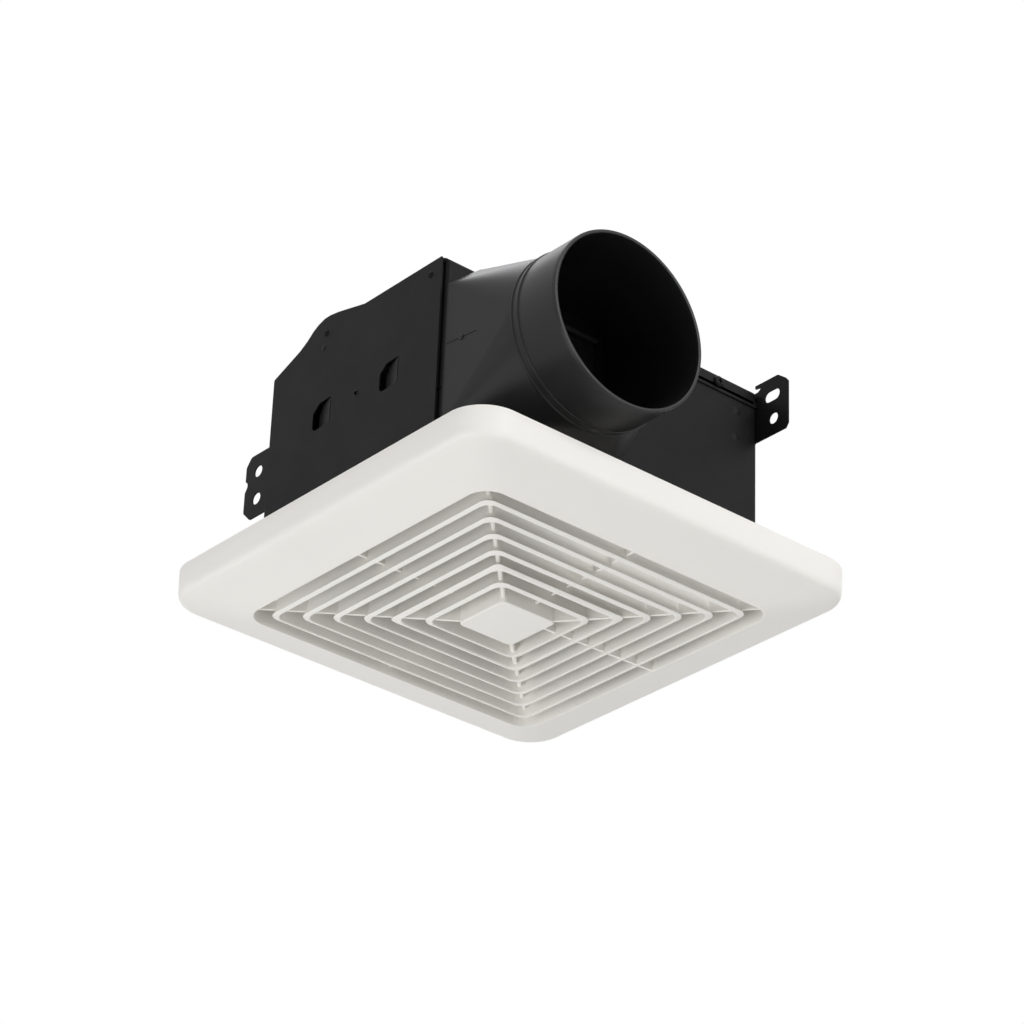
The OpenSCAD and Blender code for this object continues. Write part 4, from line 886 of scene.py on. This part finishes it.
def make_right_plate():
    edge, radii = plate_top_edge()
    ear_x, (low, high) = RIGHT_EAR_X, RIGHT_EAR_Z
    ear = [(PLATE_FRONT, low), (ear_x - 2, low), (ear_x, low + 3), (ear_x, high - 7),
           (ear_x - 2, high - 4.5), (ear_x - 8, high), (FRONT_X - 1, high), (FRONT_X - 1, high - 2),
           (FRONT_X + 4, high - 3), (FRONT_X + 1, TOP + 9), (PLATE_FRONT - 2, TOP + 9),
           (PLATE_FRONT - 2, TOP)]
    ear_radii = [0.8, 1.2, 1.2, 1.2, 1.2, 3.0, 0.6, 0.6, 1.5, 1.2, 0.8, 0.5]
    outline = [(PLATE_FRONT, LIFT)] + ear + edge[1:] + [(BACK_X, LIFT)]
    radii = [0.8] + ear_radii + radii[1:] + [0.8]
    holes = [slot_outline(RIGHT_SLOT_X, RIGHT_SLOT_Z, *RIGHT_SLOT),
             circle_outline(RIGHT_SLOT_X + 1, RIGHT_SLOT_Z - 14.6, RIGHT_HOLE_R)]
    holes += [circle_outline(x, z, RIVET_HOLE_R, 16) for x, z in RIVETS]
    plate = sheet_part("right_plate", round_corners(outline, radii, 4), holes, SHEET, 0.15)
    place(plate, FACING_MINUS_Y, (0, HALF_Y, 0))
    paint_black(plate, "end_plate_right")


def make_rivets():
    parts = []
    for x, z in RIVETS:
        parts.append(place(make_rivet(), FACE_MINUS_Y, (x, -HALF_Y, z)))
        parts.append(place(make_rivet(), FACE_PLUS_Y, (x, HALF_Y, z)))
    paint_black(joined("rivets", parts), "plate_rivets")


make_left_plate()
make_right_plate()
make_rivets()


# Raised top cover with its lip and screw

def cover_loop(inset, z, radius=3.0):
    far_x, far_y = FRONT_X + COVER_OUT, HALF_Y - COVER_OUT
    step_x, step_y = COVER_STEP_X, COVER_STEP_Y
    points = [(COVER_BACK_X + inset, COVER_FRONT_Y + inset), (step_x - inset, COVER_FRONT_Y + inset),
              (step_x - inset, step_y + inset), (far_x - inset, step_y + inset),
              (far_x - inset, far_y - inset), (COVER_BACK_X + inset, far_y - inset)]
    small = max(0.6, radius - inset)
    radii = [small, small, radius + inset, small, small, small]
    return [(x, y, z) for x, y in round_corners(points, radii, 6)]


def make_cover():
    bend, steps = 2.0, 5
    levels = [(bend + 0.4, COVER_TOP - SHEET)]
    for i in range(steps + 1):
        a = math.pi / 2 * (1 - i / steps)
        small = bend - SHEET
        levels.append((SHEET + small * (1 - math.cos(a)), COVER_TOP - bend + small * math.sin(a)))
    levels += [(SHEET, COVER_TOP - bend - 0.4), (SHEET, TOP + 0.02), (0.0, TOP + 0.02),
               (0.0, COVER_TOP - bend - 0.4)]
    for i in range(steps + 1):
        a = math.pi / 2 * i / steps
        levels.append((bend * (1 - math.cos(a)), COVER_TOP - bend + bend * math.sin(a)))
    levels.append((bend + 0.4, COVER_TOP))
    parts = [loft("cover", [cover_loop(inset, z) for inset, z in levels], angle=30.0)]
    y0, y1 = COVER_STEP_Y, HALF_Y - COVER_OUT
    lip = [(y0, COVER_TOP - COVER_LIP), (y1, COVER_TOP - COVER_LIP), (y1, TOP + 2), (y0, TOP + 2)]
    lip = round_corners(lip, [2.0, 2.0, 0, 0])
    parts.append(place(sheet_part("lip", lip, [], SHEET, 0.15), FACING_PLUS_X, (FRONT_X + 0.1, 0, 0)))
    paint_black(joined("raised_cover", parts), "top_cover")


make_cover()
cover_screw = make_screw(*COVER_SCREW)
place(cover_screw, FACE_PLUS_X, (FRONT_X + COVER_OUT, COVER_SCREW_Y, COVER_SCREW_Z))
paint_black(cover_screw, "top_cover_screw")


# Duct adapter

# The near side of the square end stands out as far as the housing's corner
NEAR_OUT = 3.1
PARTING_LENGTH = 20.0
PARTING_RISE = 0.3
PARTING_Z = COLLAR_Z - 2.8
# Legs of the slanted upper corners, what each loses with a millimetre of inset, and how much lower
# the top lies than on a full square
CORNER_CUT = (17, 13.94)
CUT_SHRINK = 0.41
TOP_DROP = 1


def corner_list(inset, near=0.0):
    """Corners of the square end, anticlockwise seen from +X, drawn in by inset. near moves one side out."""
    half = COLLAR_R + ADAPTER_WALL - inset
    top = COLLAR_Z + COLLAR_R + ADAPTER_WALL - TOP_DROP - inset
    low = COLLAR_Z - half
    cut_y, cut_z = (leg - inset * CUT_SHRINK for leg in CORNER_CUT)
    y0, y1 = COLLAR_Y - half, COLLAR_Y + half
    near_z = top - cut_z - near * cut_z / cut_y
    return [(y1, low), (y1, top - cut_z), (y1 - cut_y, top), (y0 + cut_y, top), (y0 - near, near_z),
            (y0 - near, low)]


def ruled_pairs(inset, corner_r, near=0.0):
    """Pairs of a point on the square end and a direction, ordered round the adapter."""
    steps = 24
    corners = corner_list(inset, near)
    count = len(corners)
    pairs = []
    for i, corner in enumerate(corners):
        here = Vector(corner)
        before = (here - Vector(corners[i - 1])).normalized()
        after = (Vector(corners[(i + 1) % count]) - here).normalized()
        start = math.atan2(-before.x, before.y)
        turn = before.angle(after)
        bisector = (after - before).normalized()
        centre = here + bisector * (corner_r / math.cos(turn / 2))
        amount = max(4, round(steps * turn / (math.pi / 2)))
        for k in range(amount + 1):
            a = start + turn * k / amount
            direction = Vector((math.cos(a), math.sin(a)))
            spot = centre + direction * corner_r
            if k == 0:
                pairs.append((spot - before * 1.2, direction))
            pairs.append((spot, direction))
            if k == amount:
                pairs.append((spot + after * 1.2, direction))
    return pairs


def make_adapter():
    outer = ruled_pairs(0.0, 2.4, near=NEAR_OUT)
    inner = ruled_pairs(ADAPTER_WALL, 1.0)
    inner_r = COLLAR_R - ADAPTER_WALL

    def square_ring(pairs, x):
        return [(x, p.x, p.y) for p, _ in pairs]

    def round_ring(pairs, x, radius):
        return [(x, COLLAR_Y + d.x * radius, COLLAR_Z + d.y * radius) for _, d in pairs]

    def between(pairs, x0, x1, radius, t):
        mixed = []
        for p, d in pairs:
            y = p.x * (1 - t) + (COLLAR_Y + d.x * radius) * t
            z = p.y * (1 - t) + (COLLAR_Z + d.y * radius) * t
            mixed.append((x0 * (1 - t) + x1 * t, y, z))
        return mixed

    loops = [square_ring(outer, BODY_X - 0.3), square_ring(outer, BODY_X)]
    loops += [between(outer, BODY_X, ROUND_X, COLLAR_R, t) for t in (0.02, 0.2, 0.4, 0.6, 0.8, 0.97)]
    loops.append(round_ring(outer, ROUND_X, COLLAR_R))
    for x in (ROUND_X, ROUND_X + BEAD_W + BEAD_GAP):
        for along, share in ((0.0, 0.0), (0.15, 0.35), (0.4, 0.8), (0.7, 1.0), (BEAD_W - 0.7, 1.0),
                             (BEAD_W - 0.4, 0.8), (BEAD_W - 0.15, 0.35), (BEAD_W, 0.0)):
            loops.append(round_ring(outer, x + along, COLLAR_R + share * BEAD_H))
        loops.append(round_ring(outer, x + BEAD_W + 0.35, COLLAR_R))
    loops += [round_ring(outer, RIM_X - 3.0, COLLAR_R), round_ring(outer, RIM_X - 0.5, COLLAR_R),
              round_ring(outer, RIM_X - 0.15, COLLAR_R - 0.15), round_ring(outer, RIM_X, COLLAR_R - 0.5),
              round_ring(inner, RIM_X, inner_r + 0.5), round_ring(inner, RIM_X - 0.15, inner_r + 0.15),
              round_ring(inner, RIM_X - 0.5, inner_r), round_ring(inner, RIM_X - 3.0, inner_r)]
    loops += [between(inner, SEAT_X, ROUND_X, inner_r, t) for t in (1.0, 0.97, 0.75, 0.5, 0.25, 0.02)]
    loops.append(square_ring(inner, BODY_X - 0.3))
    parts = [loft("body", loops, ring=True, angle=24.0)]
    half = COLLAR_R + ADAPTER_WALL
    cut_low = corner_list(-0.1, NEAR_OUT)[4]
    cut_high = corner_list(-0.1)[3]
    y0, y1, z0 = cut_low[0], COLLAR_Y + half + FLANGE_FAR, COLLAR_Z - half - FLANGE_RIM
    outlet = [(COLLAR_Y - OUTLET_HALF, OUTLET_Z[0]), (COLLAR_Y + OUTLET_HALF, OUTLET_Z[0]),
              (COLLAR_Y + OUTLET_HALF, OUTLET_Z[1]), (COLLAR_Y - OUTLET_HALF, OUTLET_Z[1])]
    screws = [circle_outline(FLANGE_SCREW_Y, COLLAR_Z + dz, 1.5, 20) for dz in FLANGE_SCREW_DZ]
    slope = (cut_high[0] - cut_low[0]) / (cut_high[1] - cut_low[1])
    edge = [(y0, z0), (y1, z0), (y1, TOP), (cut_low[0] + slope * (TOP - cut_low[1]), TOP), cut_low]
    edge = round_corners(edge, [1.8, 1.5, 1.5, 0.8, 1.5])
    flange = sheet_part("flange", edge, [outlet] + screws, FLANGE_T, 0.35)
    parts.append(place(flange, FACING_PLUS_X, (FLANGE_X, 0, 0)))
    seat = sheet_part("seat", corner_list(ADAPTER_WALL - 0.6), [outlet], ADAPTER_WALL, 0.2)
    parts.append(place(seat, FACING_PLUS_X, (BODY_X + 0.02, 0, 0)))
    # Ears that hold the damper's pin
    for side in (-1, 1):
        y = COLLAR_Y + side * (FLAP_HALF + 1.4)
        parts.append(bevelled_box("ear", (SEAT_X - 0.2, y - 1.0, PIN_Z - 2.6),
                                  (PIN_X + 2.6, y + 1.0, PIN_Z + 2.6), 0.5))
    # Parting line of the mould along the near side, with the mark of its gate
    near_y = corner_list(0.0, NEAR_OUT)[5][0]
    lean = (COLLAR_Y - COLLAR_R - near_y) / (ROUND_X - BODY_X)
    line_end, end_y = BODY_X + PARTING_LENGTH, near_y + lean * PARTING_LENGTH
    ridge = [(BODY_X, near_y + 0.6), (BODY_X, near_y - PARTING_RISE), (line_end, end_y - PARTING_RISE),
             (line_end, end_y + 0.6)]
    parts.append(place(sheet_part("parting_line", ridge, [], 0.5), at=(0, 0, PARTING_Z - 0.25)))
    gate = turned("gate", [(1.6, -0.8), (1.6, 0.35), (1.35, 0.6), (0.5, 0.65), (0.3, 0.3)], 24)
    gate_x = BODY_X + PARTING_LENGTH * 0.5
    parts.append(place(gate, FACE_MINUS_Y, (gate_x, near_y + lean * (gate_x - BODY_X), PARTING_Z)))
    dress(joined("adapter_moulding", parts), "housing", "black_plastic", BLACK_PLASTIC, "duct_adapter")


def make_adapter_screws():
    parts = []
    for dz in FLANGE_SCREW_DZ:
        screw = make_screw(*FLANGE_SCREW)
        parts.append(place(screw, FACE_PLUS_X, (BODY_X, FLANGE_SCREW_Y, COLLAR_Z + dz)))
    paint_black(joined("flange_screws", parts), "adapter_screws")


def make_flap():
    face_x = SEAT_X + 0.4
    y0, y1 = COLLAR_Y - FLAP_HALF, COLLAR_Y + FLAP_HALF
    width = 2 * FLAP_HALF
    parts = [bevelled_box("leaf", (face_x, y0, OUTLET_Z[0] - FLAP_LAP), (face_x + 1.2, y1, PIN_Z), 0.3)]
    for share in (-0.25, 0, 0.25):
        y = COLLAR_Y + share * width
        parts.append(bevelled_box("rib", (face_x + 1.0, y - 0.6, OUTLET_Z[0] + 5),
                                  (face_x + 2.6, y + 0.6, PIN_Z - 4), 0.25))
    barrel = [(1.25, 0.0), (1.9, 0.0), (2.3, 0.4), (2.3, width - 0.4), (1.9, width), (1.25, width)]
    roll = loft("barrel", [circle_loop(r, z, 32) for r, z in barrel], ring=True)
    parts.append(place(roll, FACE_PLUS_Y, (PIN_X, y0, PIN_Z)))
    dress(joined("flap", parts), "damper", "flap_plastic", FLAP_PLASTIC, "damper_flap")


make_adapter()
make_adapter_screws()
make_flap()


# Carried-over CAD nodes and their materials

CARRIED = {
    "damper_pin": STEEL, "volute": BLACK_PLASTIC, "inlet_plate": BLACK_PAINT,
    "motor_plate": ZINC, "blower_wheel": WHEEL_PLASTIC, "wheel_plate": ZINC, "wheel_hub": STEEL,
    "wheel_nut": STEEL, "motor_shaft": STEEL, "rotor_core": LAMINATIONS, "stator_core": LAMINATIONS,
    "stator_winding": COPPER, "motor_bell_upper": ZINC, "motor_bell_lower": ZINC, "bush_upper": BRONZE,
    "bush_lower": BRONZE, "motor_grommets": RUBBER, "motor_screws": STEEL, "capacitor": CAPACITOR_CASE,
    "capacitor_strap": ZINC, "junction_cover": ZINC, "receptacle": IVORY, "motor_plug": PLUG_PLASTIC,
    "motor_lead": LEAD_JACKET, "ground_screw": GREEN_SCREW, "inlet_plate_screws": STEEL,
    "spring_bracket_left": ZINC, "spring_bracket_right": ZINC,
}
for node, material in CARRIED.items():
    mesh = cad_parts[node].data
    mesh.materials.clear()
    mesh.materials.append(material)


# Camera: below the fan, looking up at it, as the photograph does

CAMERA_AT = Vector((1308.1, -1081.3, -897.3)) * MM
CAMERA_FORWARD = Vector((-0.67505, 0.55835, 0.48223))
CAMERA_ROLL = math.radians(2.2)
LENS = 127.78
SENSOR_W = 36.0

camera = link("camera", bpy.data.cameras.new("camera"))
right = CAMERA_FORWARD.cross(Vector((0, 0, 1))).normalized()
up = right.cross(CAMERA_FORWARD).normalized()
rolled_right = right * math.cos(CAMERA_ROLL) + up * math.sin(CAMERA_ROLL)
rolled_up = up * math.cos(CAMERA_ROLL) - right * math.sin(CAMERA_ROLL)
turned_camera = Matrix((rolled_right, rolled_up, -CAMERA_FORWARD.normalized())).transposed().to_4x4()
camera.matrix_world = Matrix.Translation(CAMERA_AT) @ turned_camera
camera.data.sensor_width = SENSOR_W
camera.data.lens = LENS
camera.data.clip_start = 0.05
camera.data.clip_end = 100.0
bpy.context.scene.camera = camera


# Stage, background and lamps, in metres and watts

FLOOR_Z = -1.8
FLOOR_HALF_MM = 9000
FLOOR_GLOW = 0.7
WORLD_LEVEL = 0.34
LAMP_COLOUR = (0.972, 0.972, 1.0)
LAMP_TARGET = Vector((0.0, 0.0, 0.03))
# Each lamp's name, place, side and power
LAMPS = (
    ("left_low", (-0.15, -1.95, -1.35), 1.6, 27.0),
    ("left_high", (0.3, -2.3, 0.9), 1.8, 6.0),
    ("right_high", (2.3, 0.5, 1.0), 1.7, 39.0),
    ("right_low", (1.8, 0.2, -1.3), 1.4, 4.0),
    ("low_soft", (0.0, 0.4, -1.65), 1.2, 3.8),
    ("top_soft", (-0.6, 0.4, 2.0), 1.4, 10.0),
)


def background_rays(tree):
    """1 where the camera, a reflection or a see-through surface looks at the background."""
    path = tree.nodes.new("ShaderNodeLightPath")
    rays = path.outputs["Is Camera Ray"]
    for kind in ("Is Glossy Ray", "Is Transmission Ray"):
        either = tree.nodes.new("ShaderNodeMath")
        either.operation = "MAXIMUM"
        tree.links.new(rays, either.inputs[0])
        tree.links.new(path.outputs[kind], either.inputs[1])
        rays = either.outputs[0]
    return rays


def make_floor():
    corners = [(x * FLOOR_HALF_MM, y * FLOOR_HALF_MM, 0) for x, y in ((-1, -1), (1, -1), (1, 1), (-1, 1))]
    floor = mesh_from("floor", corners, [(0, 1, 2, 3)])
    floor.location = (0, 0, FLOOR_Z)
    material = bpy.data.materials.new("pale_floor")
    material.use_nodes = True
    tree = material.node_tree
    tree.nodes.clear()
    output = tree.nodes.new("ShaderNodeOutputMaterial")
    diffuse = tree.nodes.new("ShaderNodeBsdfDiffuse")
    diffuse.inputs["Color"].default_value = (0.8, 0.8, 0.79, 1.0)
    glow = tree.nodes.new("ShaderNodeEmission")
    glow.inputs["Color"].default_value = (1.0, 1.0, 1.0, 1.0)
    mix = tree.nodes.new("ShaderNodeMixShader")
    share = tree.nodes.new("ShaderNodeMath")
    share.operation = "MULTIPLY"
    share.inputs[1].default_value = FLOOR_GLOW
    tree.links.new(background_rays(tree), share.inputs[0])
    tree.links.new(share.outputs[0], mix.inputs["Fac"])
    tree.links.new(diffuse.outputs[0], mix.inputs[1])
    tree.links.new(glow.outputs[0], mix.inputs[2])
    tree.links.new(mix.outputs[0], output.inputs["Surface"])
    floor.data.materials.append(material)


def make_world():
    world = bpy.data.worlds.new("studio")
    bpy.context.scene.world = world
    world.use_nodes = True
    tree = world.node_tree
    tree.nodes.clear()
    output = tree.nodes.new("ShaderNodeOutputWorld")
    fill = tree.nodes.new("ShaderNodeBackground")
    fill.inputs["Color"].default_value = (*LAMP_COLOUR, 1.0)
    fill.inputs["Strength"].default_value = WORLD_LEVEL
    white = tree.nodes.new("ShaderNodeBackground")
    white.inputs["Color"].default_value = (1.0, 1.0, 1.0, 1.0)
    white.inputs["Strength"].default_value = 1.0
    mix = tree.nodes.new("ShaderNodeMixShader")
    tree.links.new(background_rays(tree), mix.inputs["Fac"])
    tree.links.new(fill.outputs[0], mix.inputs[1])
    tree.links.new(white.outputs[0], mix.inputs[2])
    tree.links.new(mix.outputs[0], output.inputs["Surface"])


def area_lamp(name, at, size, power):
    data = bpy.data.lights.new(name, "AREA")
    data.shape = "SQUARE"
    data.size = size
    data.energy = power
    data.color = LAMP_COLOUR
    lamp = link(name, data)
    lamp.location = at
    lamp.rotation_mode = "QUATERNION"
    lamp.rotation_quaternion = (LAMP_TARGET - Vector(at)).to_track_quat("-Z", "Y")
    lamp.visible_camera = False


make_floor()
make_world()
for lamp_row in LAMPS:
    area_lamp(*lamp_row)

bpy.context.scene.view_settings.view_transform = "Standard"
